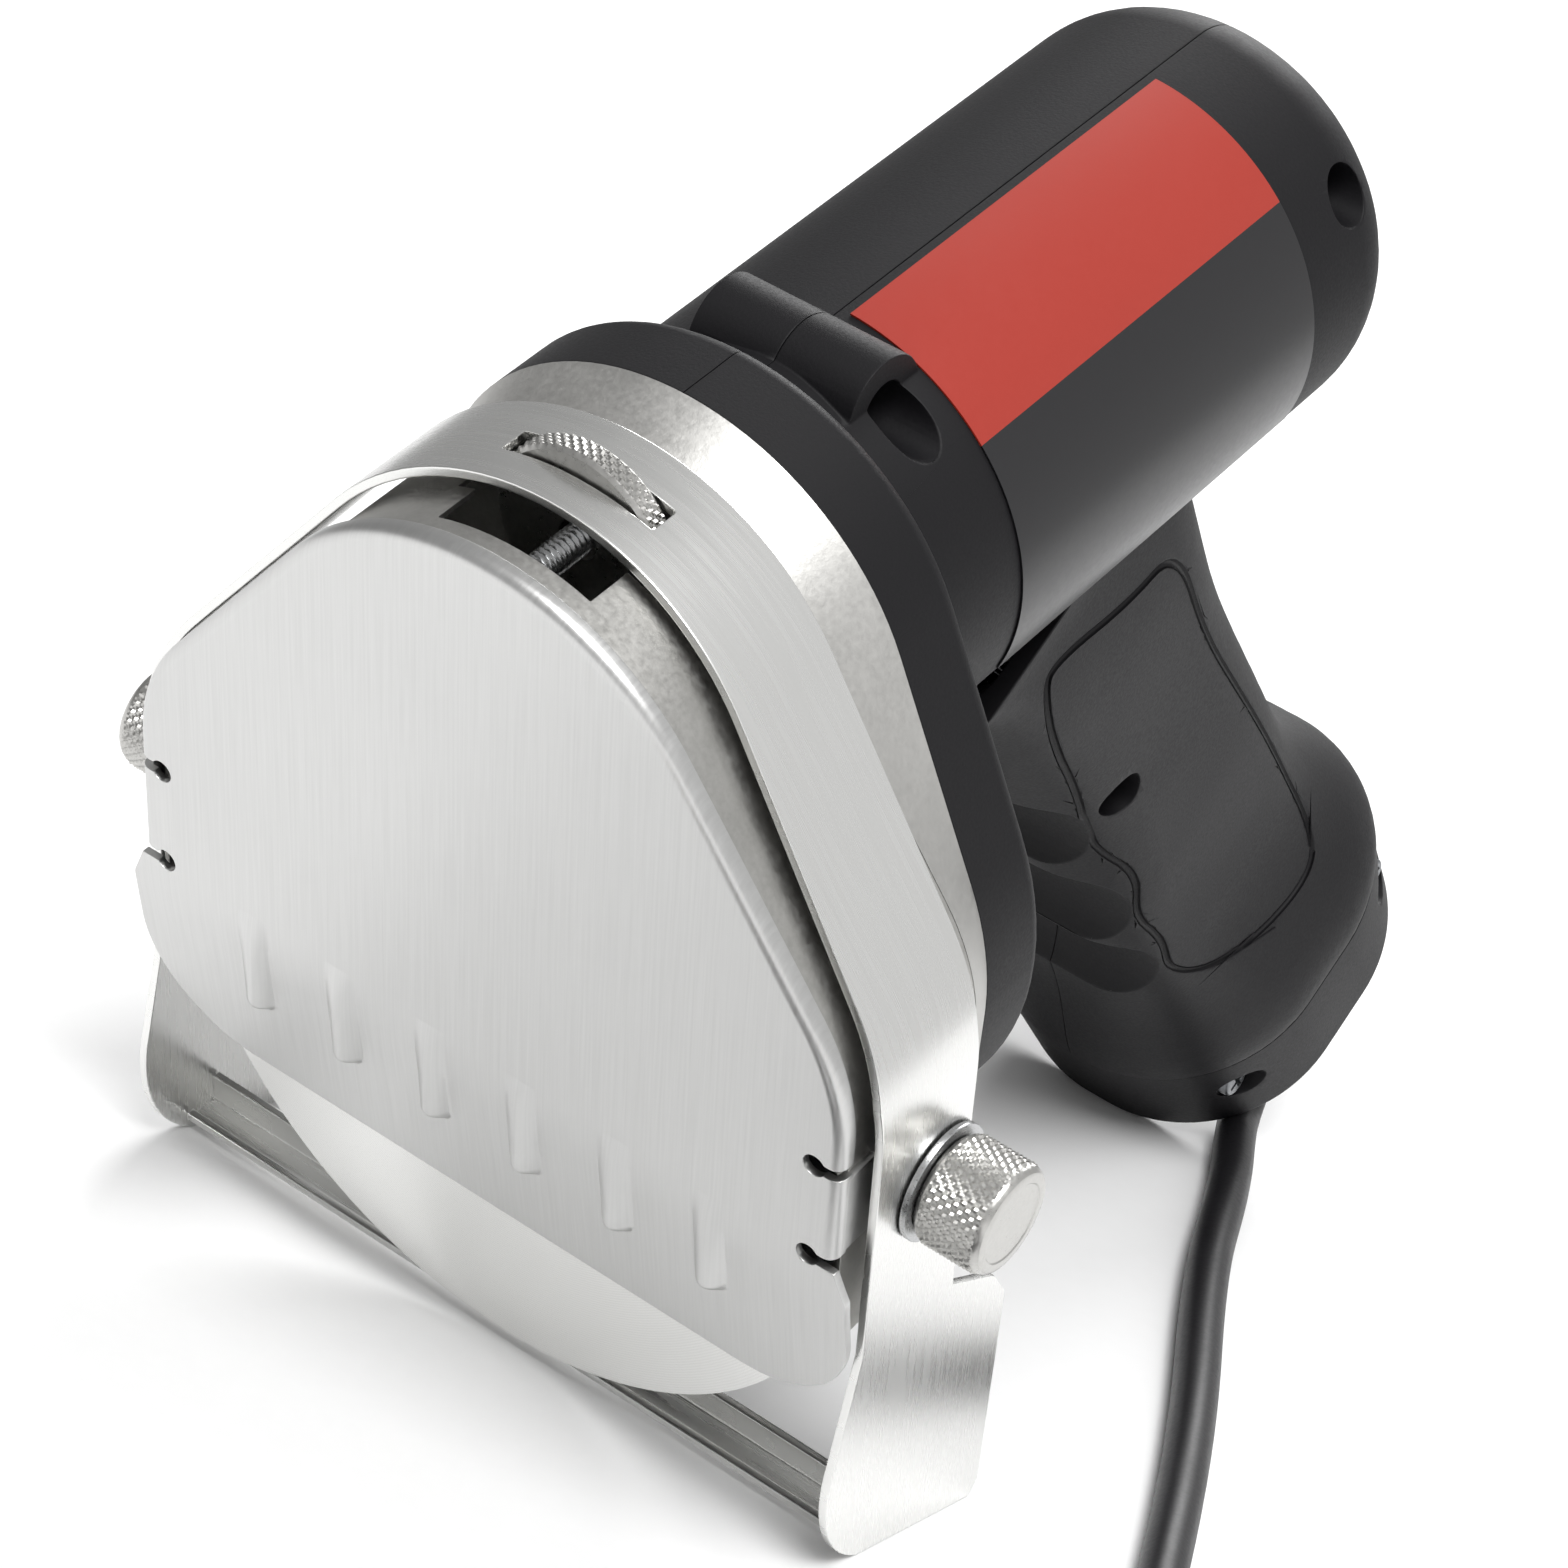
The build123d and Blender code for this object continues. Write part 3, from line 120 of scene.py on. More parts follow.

# %% [markdown]
# ## The cord's route
# The lead leaves the foot of the handle through a bush inside the cap, drops the short way
# to the table and runs off to the front, out of the picture. What the picture doesn't show
# is wound in a flat coil of two layers, with the plug lying on top. One smooth spline of
# given points carries the whole lead, because sampled arcs always look like bent wire.

# %% Cord points
CORD_RADIUS = 3.25
TABLE_REST = CORD_RADIUS + 0.1
CAP_FOOT = 130.6
gland_mouth = grip_place(16.4, -9.0, CAP_FOOT) - UP * 0.8 * MM
route = [
    gland_mouth,
    gland_mouth - UP * 4.6 * MM,
    Vector((16.7, 111.4, 6.4)) * MM,
    Vector((18.1, 108.2, TABLE_REST)) * MM,
    Vector((21.7, 99.9, TABLE_REST)) * MM,
    Vector((29.4, 83.7, TABLE_REST)) * MM,
    Vector((41.6, 52.0, TABLE_REST)) * MM,
    Vector((66.4, 1.7, TABLE_REST)) * MM,
    Vector((88.4, -52.4, TABLE_REST)) * MM,
    Vector((112.4, -103.0, TABLE_REST)) * MM,
    Vector((130.0, -146.6, TABLE_REST)) * MM,
]
ahead = (route[-1] - route[-2]).normalized()
aside = Vector((ahead.y, -ahead.x, 0))
half_turn_radii = [50.0, 46.5, 43.0, 39.5, 36.0, 32.5, 29.0, 25.5, 32.5, 36.0, 39.5, 43.0, 46.5]
LAYER = 7.0
CLIMB_AFTER = 6
coil_middle = route[-1] + aside * half_turn_radii[0] * MM
coil_ends = [
    coil_middle - aside * (radius if turn % 2 == 0 else -radius) * MM
    + Vector((0, 0, LAYER * MM if turn > CLIMB_AFTER else 0))
    for turn, radius in enumerate(half_turn_radii)
]
POINTS_PER_HALF = 7
swell = 1 / cos(pi / POINTS_PER_HALF / 2) ** 2
coil_route = []
for turn, (start, end) in enumerate(zip(coil_ends, coil_ends[1:])):
    middle = (start + end) / 2
    spoke = start - middle
    way = ahead if turn % 2 == 0 else -ahead
    reach = Vector((spoke.x, spoke.y, 0)).length
    for step in range(POINTS_PER_HALF):
        angle = pi * (step + 0.5) / POINTS_PER_HALF
        flat = (Vector((spoke.x, spoke.y, 0)) * cos(angle) + way * reach * sin(angle)) * swell
        coil_route.append(middle + flat + Vector((0, 0, spoke.z * cos(angle))))
TAIL_STUB = 6.5
TAIL_RUN = 16.0
TAIL_TURN = 30.0
PLUG_CLEARANCE = 0.1
PLUG_HALF_HEIGHT = 10.0
PLUG_MIDDLE = TABLE_REST + LAYER + CORD_RADIUS + PLUG_CLEARANCE + PLUG_HALF_HEIGHT
tail = [coil_ends[-1] + ahead * TAIL_STUB * MM]
tail_climb = PLUG_MIDDLE * MM - tail[0].z
for bend, share in enumerate((0, 0.45, 0.55, 0)):
    tail_way = ahead.copy()
    tail_way.rotate(Matrix.Rotation(radians(-TAIL_TURN * bend), 3, "Z"))
    tail.append(tail[-1] + tail_way * TAIL_RUN * MM + Vector((0, 0, tail_climb * share)))
cord_points = route + coil_route + tail
print("cord points", len(cord_points))

# %% Cord curve
# The radius is set at each point, because a curve's box is taken from its points' radii.
curve = bpy.data.curves.new("power_cord", "CURVE")
curve.dimensions = "3D"
curve.bevel_depth = 1.0
curve.bevel_resolution = 5
curve.use_fill_caps = True
spline = curve.splines.new("NURBS")
spline.points.add(len(cord_points) - 1)
for point, where in zip(spline.points, cord_points):
    point.co = (*where, 1.0)
    point.radius = CORD_RADIUS * MM
spline.order_u = 3
spline.use_endpoint_u = True
spline.resolution_u = 8
curve.resolution_u = 8
power_cord = bpy.data.objects.new("power_cord", curve)
bpy.context.scene.collection.objects.link(power_cord)
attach(power_cord, "handle")
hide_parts("cord", "cord_coil", "cord_tail")
print("cord set out with its plug")

# %% [markdown]
# ## Colours and shader nodes
# Colours are written as the hex codes that a paint program shows, and one function turns
# them to the linear light that a renderer works in. One more adds a shader node, sets its
# options and fills or links its sockets. Patterns are laid out in the tool's own directions,
# counted in steps of so many millimetres, so that each one has the size of the real mark.

# %% Small helpers for materials
def linear(code):
    """Linear colour of an sRGB hex code such as D8D8D6."""
    shares = [int(code[at:at + 2], 16) / 255 for at in (0, 2, 4)]
    return tuple(s / 12.92 if s <= 0.04045 else ((s + 0.055) / 1.055) ** 2.4 for s in shares) + (1.0,)


def add(tree, kind, settings=None, inputs=None):
    """Adds one node to a tree, sets its options, and fills or links its inputs."""
    made = tree.nodes.new(kind)
    for option, value in (settings or {}).items():
        setattr(made, option, value)
    for socket, value in (inputs or {}).items():
        if isinstance(value, bpy.types.NodeSocket):
            tree.links.new(value, made.inputs[socket])
        else:
            made.inputs[socket].default_value = value
    return made


def tool_space(tree, across, back, up, shift=(0.0, 0.0, 0.0)):
    """Places counted from a point of the tool, in steps of so many millimetres each way."""
    centre = Matrix.Rotation(-LEAN, 3, "X") @ place(*shift)
    spot = add(tree, "ShaderNodeTexCoord").outputs["Object"]
    turned = add(tree, "ShaderNodeMapping", None, {
        "Vector": spot, "Rotation": (-LEAN, 0, 0), "Location": tuple(-centre)})
    steps = add(tree, "ShaderNodeMapping", None, {
        "Vector": turned.outputs["Vector"],
        "Scale": (1 / (across * MM), 1 / (back * MM), 1 / (up * MM))})
    return steps.outputs["Vector"]


def blank(name, **sockets):
    """New material with its main shader's own sockets set."""
    material = bpy.data.materials.new(name)
    material.use_nodes = True
    shader = material.node_tree.nodes["Principled BSDF"]
    for socket, value in sockets.items():
        shader.inputs[socket.replace("_", " ")].default_value = value
    return material, material.node_tree, shader


def worked(name, dark, light, smooth, rough, marks, relief, detail=3.0, cloud=16.0, **sockets):
    """Finish with fine marks of a size in millimetres each way, and broad clouding behind them.

    Tone runs from the dark to the light colour, and roughness from smooth to rough.
    """
    material, tree, shader = blank(name, **sockets)
    fine = add(tree, "ShaderNodeTexNoise", None, {
        "Vector": tool_space(tree, *marks), "Scale": 1.0, "Detail": detail, "Roughness": 0.6}).outputs[0]
    broad = add(tree, "ShaderNodeTexNoise", None, {
        "Vector": tool_space(tree, cloud, cloud, cloud), "Scale": 1.0, "Detail": 2.0}).outputs[0]
    both = add(tree, "ShaderNodeMath", {"operation": "MULTIPLY_ADD"}, {0: fine, 1: 0.65, 2: 0.0}).outputs[0]
    level = add(tree, "ShaderNodeMath", {"operation": "MULTIPLY_ADD"},
                {0: broad, 1: 0.35, 2: both}).outputs[0]
    tone = add(tree, "ShaderNodeMix", {"data_type": "RGBA"}, {0: level, 6: linear(dark), 7: linear(light)})
    sheen = add(tree, "ShaderNodeMapRange", None, {
        "Value": level, "From Min": 0.3, "From Max": 0.7, "To Min": smooth, "To Max": rough})
    bump = add(tree, "ShaderNodeBump", None, {"Height": fine, "Strength": 1.0, "Distance": relief * MM})
    tree.links.new(tone.outputs[2], shader.inputs["Base Color"])
    tree.links.new(sheen.outputs[0], shader.inputs["Roughness"])
    tree.links.new(bump.outputs[0], shader.inputs["Normal"])
    return material


def turned_metal(name, dark, light, smooth, rough, axis, centre, spacing, relief):
    """Metal cut on a lathe: fine rings about an axis through a point of the tool."""
    material, tree, shader = blank(name, Metallic=1.0)
    spot = tool_space(tree, spacing, spacing, spacing, centre)
    rings = add(tree, "ShaderNodeTexWave", {"wave_type": "RINGS", "rings_direction": axis}, {
        "Vector": spot, "Scale": 0.5, "Distortion": 0.6, "Detail": 2.0, "Detail Scale": 0.4}).outputs[1]
    tone = add(tree, "ShaderNodeMix", {"data_type": "RGBA"}, {0: rings, 6: linear(dark), 7: linear(light)})
    sheen = add(tree, "ShaderNodeMapRange", None, {"Value": rings, "To Min": smooth, "To Max": rough})
    bump = add(tree, "ShaderNodeBump", None, {"Height": rings, "Strength": 1.0, "Distance": relief * MM})
    tree.links.new(tone.outputs[2], shader.inputs["Base Color"])
    tree.links.new(sheen.outputs[0], shader.inputs["Roughness"])
    tree.links.new(bump.outputs[0], shader.inputs["Normal"])
    return material


print("helpers ready")

# %% [markdown]
# ## The finishes
# Each one starts from what the real surface is and how it was made. The guard is stainless
# sheet brushed up and down; the gauge is the same sheet, brighter, grained along its strap.
# The cup behind has been tumbled after pressing, which leaves a mottled satin. The ring
# between it and the body is cast aluminium alloy. The blade is ground, so it shows rings.
# The body is glass-filled nylon from a spark-eroded mould: near black, with a fine even
# grain that spreads its highlight. The real grain is about 0.1 mm, too fine to show here,
# so it is drawn at 0.4 mm.

# %% Metals
finishes = {
    "guard_steel": worked("brushed_stainless", "B9B9B8", "D9D9D8", 0.30, 0.42,
                          (0.35, 3.0, 22.0), 0.004, cloud=40.0, Metallic=1.0),
    "gauge_steel": worked("satin_stainless", "E0E0DE", "EEEEEC", 0.24, 0.31,
                          (18.0, 0.6, 18.0), 0.0005, cloud=50.0, Metallic=1.0),
    "housing_steel": worked("tumbled_stainless", "9C9B97", "CFCECB", 0.30, 0.50,
                            (0.7, 0.7, 0.7), 0.02, detail=5.0, cloud=6.0, Metallic=1.0),
    "blade_steel": turned_metal("ground_blade_steel", "E6E6E4", "EEEEEC", 0.20, 0.27, "Y",
                                (0.0, 0.0, 0.0), 0.6, 0.0004),
    "knurled_steel": worked("knurled_stainless", "A9A8A5", "D2D1CE", 0.24, 0.38,
                            (0.6, 0.6, 0.6), 0.006, cloud=4.0, Metallic=1.0),
    "machined_steel": worked("machined_bright_steel", "9FA0A1", "C9CACB", 0.22, 0.36,
                             (0.5, 0.25, 0.5), 0.004, cloud=8.0, Metallic=1.0),
    "screw_steel": worked("zinc_plated_screw_steel", "77797C", "96989B", 0.34, 0.48,
                          (0.6, 0.6, 0.6), 0.006, cloud=5.0, Metallic=1.0),
    "cast_alloy": worked("cast_aluminium_alloy", "B2B1AE", "D6D5D2", 0.38, 0.55,
                         (0.8, 0.8, 0.8), 0.035, detail=5.0, cloud=9.0, Metallic=1.0),
    "lamination_steel": worked("stacked_iron_sheet", "5B5C5E", "86878A", 0.40, 0.60,
                               (9.0, 0.5, 9.0), 0.03, cloud=12.0, Metallic=1.0),
    "copper_winding": worked("enamelled_copper_wire", "8A3F1D", "B8642F", 0.25, 0.40,
                             (0.8, 6.0, 0.8), 0.08, cloud=10.0, Metallic=1.0),
    "pin_brass": worked("nickel_plated_brass", "B9B29C", "D8D2BE", 0.18, 0.32,
                        (0.5, 0.5, 0.5), 0.004, cloud=6.0, Metallic=1.0),
}
print("metals", sorted(finishes))

# %% Plastics, film, carbon
finishes.update({
    "black_plastic": worked("glass_filled_nylon_spark_eroded", "0B0A0D", "121114", 0.50, 0.64,
                            (0.4, 0.4, 0.4), 0.022, detail=2.0, cloud=30.0, IOR=1.45,
                            Specular_IOR_Level=0.32),
    "inner_plastic": worked("moulded_nylon_natural", "C9C2B0", "DDD7C8", 0.40, 0.55,
                            (0.6, 0.6, 0.6), 0.02, cloud=14.0, IOR=1.53),
    "brush_carbon": worked("pressed_carbon_graphite", "222224", "39393B", 0.45, 0.62,
                           (0.3, 0.3, 0.3), 0.02, cloud=3.0, IOR=1.8),
    "plate_red": worked("printed_polyester_film_red", "9A2617", "A02B1B", 0.30, 0.38,
                        (0.9, 0.9, 0.9), 0.004, cloud=26.0, IOR=1.57),
    "plate_black": worked("printed_polyester_film_black", "0E0D10", "131215", 0.28, 0.36,
                          (0.9, 0.9, 0.9), 0.004, cloud=26.0, IOR=1.57),
    "cord_sheath": worked("extruded_pvc_sheath", "0F0E11", "171619", 0.38, 0.52,
                          (0.7, 0.7, 0.7), 0.02, cloud=12.0, IOR=1.53),
    "plug_plastic": worked("moulded_pvc_plug", "0F0E11", "171619", 0.36, 0.50,
                           (0.5, 0.5, 0.5), 0.02, cloud=10.0, IOR=1.53),
})
for part in frame["record"]["subparts"]:
    mesh = nodes[part["node"]].data
    mesh.materials.clear()
    mesh.materials.append(finishes[part["material_slot"]])
power_cord.data.materials.append(finishes["cord_sheath"])
slots = {part["node"]: part["material_slot"] for part in frame["record"]["subparts"]}
print("finishes", len(finishes), "given to", len(slots), "nodes")

# %% [markdown]
# ## Tools for meshes
# A modifier is finished by reading the evaluated object back as a plain mesh. A piece that
# takes a node's place rides on the same body and takes the same finish. Sheet and moulded
# parts get their edges broken by a hair, because a real edge always catches the light.

# %% Mesh helpers
SAME_POINT = 1e-6


def piece(name, mesh):
    """New object with a mesh, at the origin."""
    made = bpy.data.objects.new(name, mesh)
    bpy.context.scene.collection.objects.link(made)
    return made


def mesh_of(name, points, faces):
    """Mesh from points in metres and faces, with its normals turned outwards if it is closed."""
    mesh = bpy.data.meshes.new(name)
    mesh.from_pydata([tuple(p) for p in points], [], faces)
    work = bmesh.new()
    work.from_mesh(mesh)
    bmesh.ops.remove_doubles(work, verts=work.verts, dist=SAME_POINT)
    bmesh.ops.recalc_face_normals(work, faces=work.faces)
    work.to_mesh(mesh)
    work.free()
    return mesh


def settle(made):
    """Turns an object's modifiers into plain mesh and removes them."""
    bpy.context.view_layer.update()
    mesh = bpy.data.meshes.new_from_object(made.evaluated_get(bpy.context.evaluated_depsgraph_get()))
    made.modifiers.clear()
    made.data = mesh
    return made


def merged_copy(node, name):
    """Copy of a node's mesh whose loose triangles are joined into faces."""
    mesh = nodes[node].data.copy()
    mesh.name = name
    if "custom_normal" in mesh.attributes:
        mesh.attributes.remove(mesh.attributes["custom_normal"])
    work = bmesh.new()
    work.from_mesh(mesh)
    bmesh.ops.remove_doubles(work, verts=work.verts, dist=2 * SAME_POINT)
    bmesh.ops.dissolve_degenerate(work, edges=work.edges, dist=SAME_POINT)
    bmesh.ops.dissolve_limit(work, angle_limit=radians(0.3), verts=work.verts, edges=work.edges)
    work.to_mesh(mesh)
    work.free()
    return piece(name, mesh)


def break_edges(made, width, angle=35, crease=30):
    """Rounds the sharp edges of an object by a width in millimetres and shades it smooth."""
    bevel = made.modifiers.new("edge", "BEVEL")
    bevel.width = width * MM
    bevel.segments = 2
    bevel.limit_method = "ANGLE"
    bevel.angle_limit = radians(angle)
    bevel.use_clamp_overlap = False
    bevel.miter_outer = "MITER_ARC"
    settle(made)
    made.data.shade_smooth()
    made.data.set_sharp_from_angle(angle=radians(crease))
    weigh = made.modifiers.new("normals", "WEIGHTED_NORMAL")
    weigh.keep_sharp = True
    return settle(made)


def stand_for(made, *names):
    """The piece rides with the nodes, hides them and takes the finish of the first."""
    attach(made, nodes[names[0]]["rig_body"])
    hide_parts(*names)
    made.data.materials.clear()
    made.data.materials.append(finishes[slots[names[0]]])
    print(made.name, "faces", len(made.data.polygons))
    return made


print("mesh helpers ready")

# %% [markdown]
# ## The front guard
# On the real tool this is one stamped sheet: a flat face with a narrow flange rolled back
# all round its crown, a lip bent back at the foot, and six ribs pressed out of the lip.
# It could be cut from a block, but a pressed sheet is easier to make as a surface: rings of
# points for the rolled edge, and a fine grid for the lip, lifted where the press lifts it.
# The surface then gets its thickness.

# %% Guard outline
GUARD_SHEET = 1.1
ROLL = 1.6
FLANGE = 2.5
BEND_HEIGHT = 3.0
ARC_STEPS = 22


def egg_points(crown_radius, crown, side_lean, shoulder, half_width, low):
    """Right half of the outline as (across, height, outward direction), from the foot to the crown."""
    touch = (crown_radius * cos(side_lean), crown + crown_radius * sin(side_lean))
    inward = shoulder + (half_width - shoulder - touch[0]) * cos(side_lean)
    shoulder_height = touch[1] - inward / sin(side_lean)
    found = [(half_width, low + (shoulder_height - low) * step / 6, 0.0) for step in range(6)]
    found += [(half_width - shoulder + shoulder * cos(side_lean * step / ARC_STEPS),
               shoulder_height + shoulder * sin(side_lean * step / ARC_STEPS),
               side_lean * step / ARC_STEPS) for step in range(ARC_STEPS + 1)]
    found += [(crown_radius * cos(side_lean + (pi / 2 - side_lean) * step / ARC_STEPS),
               crown + crown_radius * sin(side_lean + (pi / 2 - side_lean) * step / ARC_STEPS),
               side_lean + (pi / 2 - side_lean) * step / ARC_STEPS) for step in range(ARC_STEPS + 1)]
    return found


right_half = egg_points(34.1, 43.1, radians(36.9), 27.5, 52.0, BEND_HEIGHT)
outline = right_half + [(-a, h, pi - turn) for a, h, turn in reversed(right_half[:-1])]
print("outline points", len(outline))

# %% Guard surface
LIP_ANGLE = radians(7)
LIP_LENGTH = 29.2
LIP_CORNER = 16.0
LIP_FRONT = -BACK * cos(LIP_ANGLE) - UP * sin(LIP_ANGLE)
BEND_RUN = 8.0
RIB_COUNT = 6
RIB_SPACING = 13.85
RIB_LENGTH = 16.9
RIB_HALF = 2.3
RIB_RISE = 2.0
LIP_ROWS = 73
LIP_COLUMNS = 300


def lip_half_width(drop):
    """Half the lip's width at a distance below the bend."""
    if drop < 5.0:
        return 52.0 + 2.0 * drop / 5.0
    corner = drop - (LIP_LENGTH - LIP_CORNER)
    if corner <= 0:
        return 54.0
    return 54.0 - LIP_CORNER + sqrt(max(LIP_CORNER ** 2 - corner ** 2, 0.0))


def lip_place(across, drop, lift):
    """Place on the lip: the sheet bends back over a short run below the face, and is straight from there."""
    bent = min(drop, BEND_RUN)
    straight = drop - bent
    back = LIP_ANGLE * bent ** 2 / (2 * BEND_RUN) + sin(LIP_ANGLE) * straight
    down = bent + cos(LIP_ANGLE) * straight
    return place(across, back, BEND_HEIGHT - down) + LIP_FRONT * lift * MM


def rib_lift(across, drop):
    """How far the press lifts the sheet: long ribs, shallow at the bend and round at the foot."""
    nearest = round(across / RIB_SPACING - 0.5) + 0.5
    nearest = max(-(RIB_COUNT - 1) / 2, min((RIB_COUNT - 1) / 2, nearest))
    side = abs(across - nearest * RIB_SPACING)
    over = max(0.0, drop - (RIB_LENGTH - RIB_HALF))
    off = sqrt(side ** 2 + over ** 2) / RIB_HALF
    if off >= 1 or drop <= 0:
        return 0.0
    along = min(1.0, drop / (RIB_LENGTH - RIB_HALF))
    return RIB_RISE * along ** 0.8 * cos(pi / 2 * off) ** 0.9


points, faces = [], []
rows = [(ROLL * (1 - sin(pi / 2 * step / 5)), ROLL * (1 - cos(pi / 2 * step / 5))) for step in range(6)]
rows.append((0.0, FLANGE))
for inset, depth in rows:
    for across, height, turn in outline:
        points.append(place(across - inset * cos(turn), depth, height - inset * sin(turn)))
count = len(outline)
for row in range(len(rows) - 1):
    for at in range(count - 1):
        first = row * count + at
        faces.append((first, first + 1, first + count + 1, first + count))
inner = 52.0 - ROLL
shares = [-1.0] + [(-inner + 2 * inner * at / (LIP_COLUMNS - 1)) / 52.0 for at in range(LIP_COLUMNS)] + [1.0]
lip_first = len(points)
for row in range(LIP_ROWS + 1):
    drop = LIP_LENGTH * (row / LIP_ROWS)
    width = lip_half_width(drop)
    for share in shares:
        across = share * width
        lift = rib_lift(across, drop)
        points.append(lip_place(across, drop, lift))
across_count = len(shares)
for row in range(LIP_ROWS):
    for at in range(across_count - 1):
        first = lip_first + row * across_count + at
        faces.append((first, first + across_count, first + across_count + 1, first + 1))
face_ring = list(range(count)) + [lip_first + 1 + at for at in range(1, LIP_COLUMNS - 1)]
faces.append(tuple(face_ring))
guard = piece("guard_sheet", mesh_of("guard_sheet", points, faces))
facing = sum((poly.normal * poly.area for poly in guard.data.polygons), Vector())
if facing.dot(BACK) > 0:
    guard.data.flip_normals()
print("guard surface faces", len(guard.data.polygons), "facing", tuple(round(x, 3) for x in facing * 1e4))

# %% [markdown]
# The tabs that snap over the cup's sides stand between two keyhole notches. The notches are
# cut with a boolean, after the sheet has its thickness, as a punch does it on the real one.

# %% Guard notches and tabs
thick = guard.modifiers.new("sheet", "SOLIDIFY")
thick.thickness = GUARD_SHEET * MM
thick.offset = -1.0
thick.use_even_offset = True
settle(guard)


def prism(outline_points, front_depth, back_depth):
    """Closed prism with an outline across the tool, between two depths."""
    many = len(outline_points)
    corners = [place(a, depth, h) for depth in (front_depth, back_depth) for a, h in outline_points]
    sides = [(at, (at + 1) % many, many + (at + 1) % many, many + at) for at in range(many)]
    return corners, sides + [tuple(reversed(range(many))), tuple(range(many, 2 * many))]


NOTCH_RADIUS = 1.5
NOTCH_HALF = 0.8
NOTCH_REACH = 3.6
cut_points, cut_faces = [], []
for side in (-1, 1):
    for middle in (3.2, 17.8):
        start = radians(32)
        loop = [(52.0 - NOTCH_REACH + NOTCH_RADIUS * cos(start + (2 * pi - 2 * start) * step / 20),
                 middle + NOTCH_RADIUS * sin(start + (2 * pi - 2 * start) * step / 20)) for step in range(21)]
        loop = [(56.0, middle + NOTCH_HALF)] + loop + [(56.0, middle - NOTCH_HALF)]
        corners, sides = prism([(side * a, h) for a, h in loop], -3.0, 9.0)
        cut_faces += [tuple(len(cut_points) + at for at in face) for face in sides]
        cut_points += corners
punch = piece("punch", mesh_of("punch", cut_points, cut_faces))
cut = guard.modifiers.new("notches", "BOOLEAN")
cut.object = punch
cut.operation = "DIFFERENCE"
cut.solver = "EXACT"
settle(guard)
bpy.data.objects.remove(punch)
tab_points, tab_faces = [], []
for side in (-1, 1):
    loop = [(52.0 - GUARD_SHEET, 4.4), (52.05, 4.4), (52.05, 16.6), (52.0 - GUARD_SHEET, 16.6)]
    corners, sides = prism([(side * a, h) for a, h in loop], ROLL, 7.0)
    tab_faces += [tuple(len(tab_points) + at for at in face) for face in sides]
    tab_points += corners
tabs = piece("guard_tabs", mesh_of("guard_tabs", tab_points, tab_faces))
break_edges(tabs, 0.35)
break_edges(guard, 0.12, angle=50, crease=24)
work = bmesh.new()
work.from_mesh(guard.data)
work.from_mesh(tabs.data)
work.to_mesh(guard.data)
work.free()
bpy.data.objects.remove(tabs)
stand_for(guard, "front_guard")

# %% [markdown]
# ## Sheet and turned parts with broken edges
# These solids already have the right shape. A copy of each is joined into clean faces, and
# its corners are rounded by the tenth or two of a millimetre that deburring leaves.

# %% Housing, gauge, blade nut, trigger
for node, name, width in (
    ("blade_housing", "cup_pressing", 0.15), ("gauge_frame", "gauge_pressing", 0.25),
    ("blade_nut", "hub_nut", 0.3), ("trigger", "trigger_moulding", 0.6),
    ("washer_right", "flat_washer_right", 0.12), ("washer_left", "flat_washer_left", 0.12),
):
    stand_for(break_edges(merged_copy(node, name), width), node)

# %% [markdown]
# ## The handle's groove
# A fine line is moulded into each side of the grip, round a panel. The groove is swept along
# the side of the grip as a closed tube, and taken out of the moulding with a boolean. Each
# point of the line is dropped on to the mesh first, so the groove is as deep everywhere.

# %% Groove outline
panel_line = [
    (6.7, -17.0), (6.1, 6.8), (8.6, 32.0), (11.3, 62.0), (11.4, 80.0), (7.0, 88.0), (-9.0, 84.5),
    (-20.5, 75.0), (-19.3, 62.0), (-21.6, 50.5), (-18.6, 39.0), (-22.0, 26.5), (-21.0, 10.0), (-22.5, -12.0),
    (-20.6, -26.0), (-16.5, -26.8), (-3.7, -19.5),
]
PANEL_STEPS = 8
WELL_OUTSIDE = 60.0
LEAST_HALF_WIDTH = 15.0
GROOVE_RADIUS = 0.55


def panel_points():
    """The panel's line as a smooth closed loop of (rear, down), each corner rounded by a curve."""
    found = []
    for at, corner in enumerate(panel_line):
        before, after = panel_line[at - 1], panel_line[(at + 1) % len(panel_line)]
        for step in range(PANEL_STEPS):
            t = step / PANEL_STEPS
            shares = ((1 - t) ** 2 / 2, 0.5 + t * (1 - t), t ** 2 / 2)
            found.append(tuple(sum(share * spot[axis] for share, spot in zip(shares, (before, corner, after)))
                               for axis in range(2)))
    return found


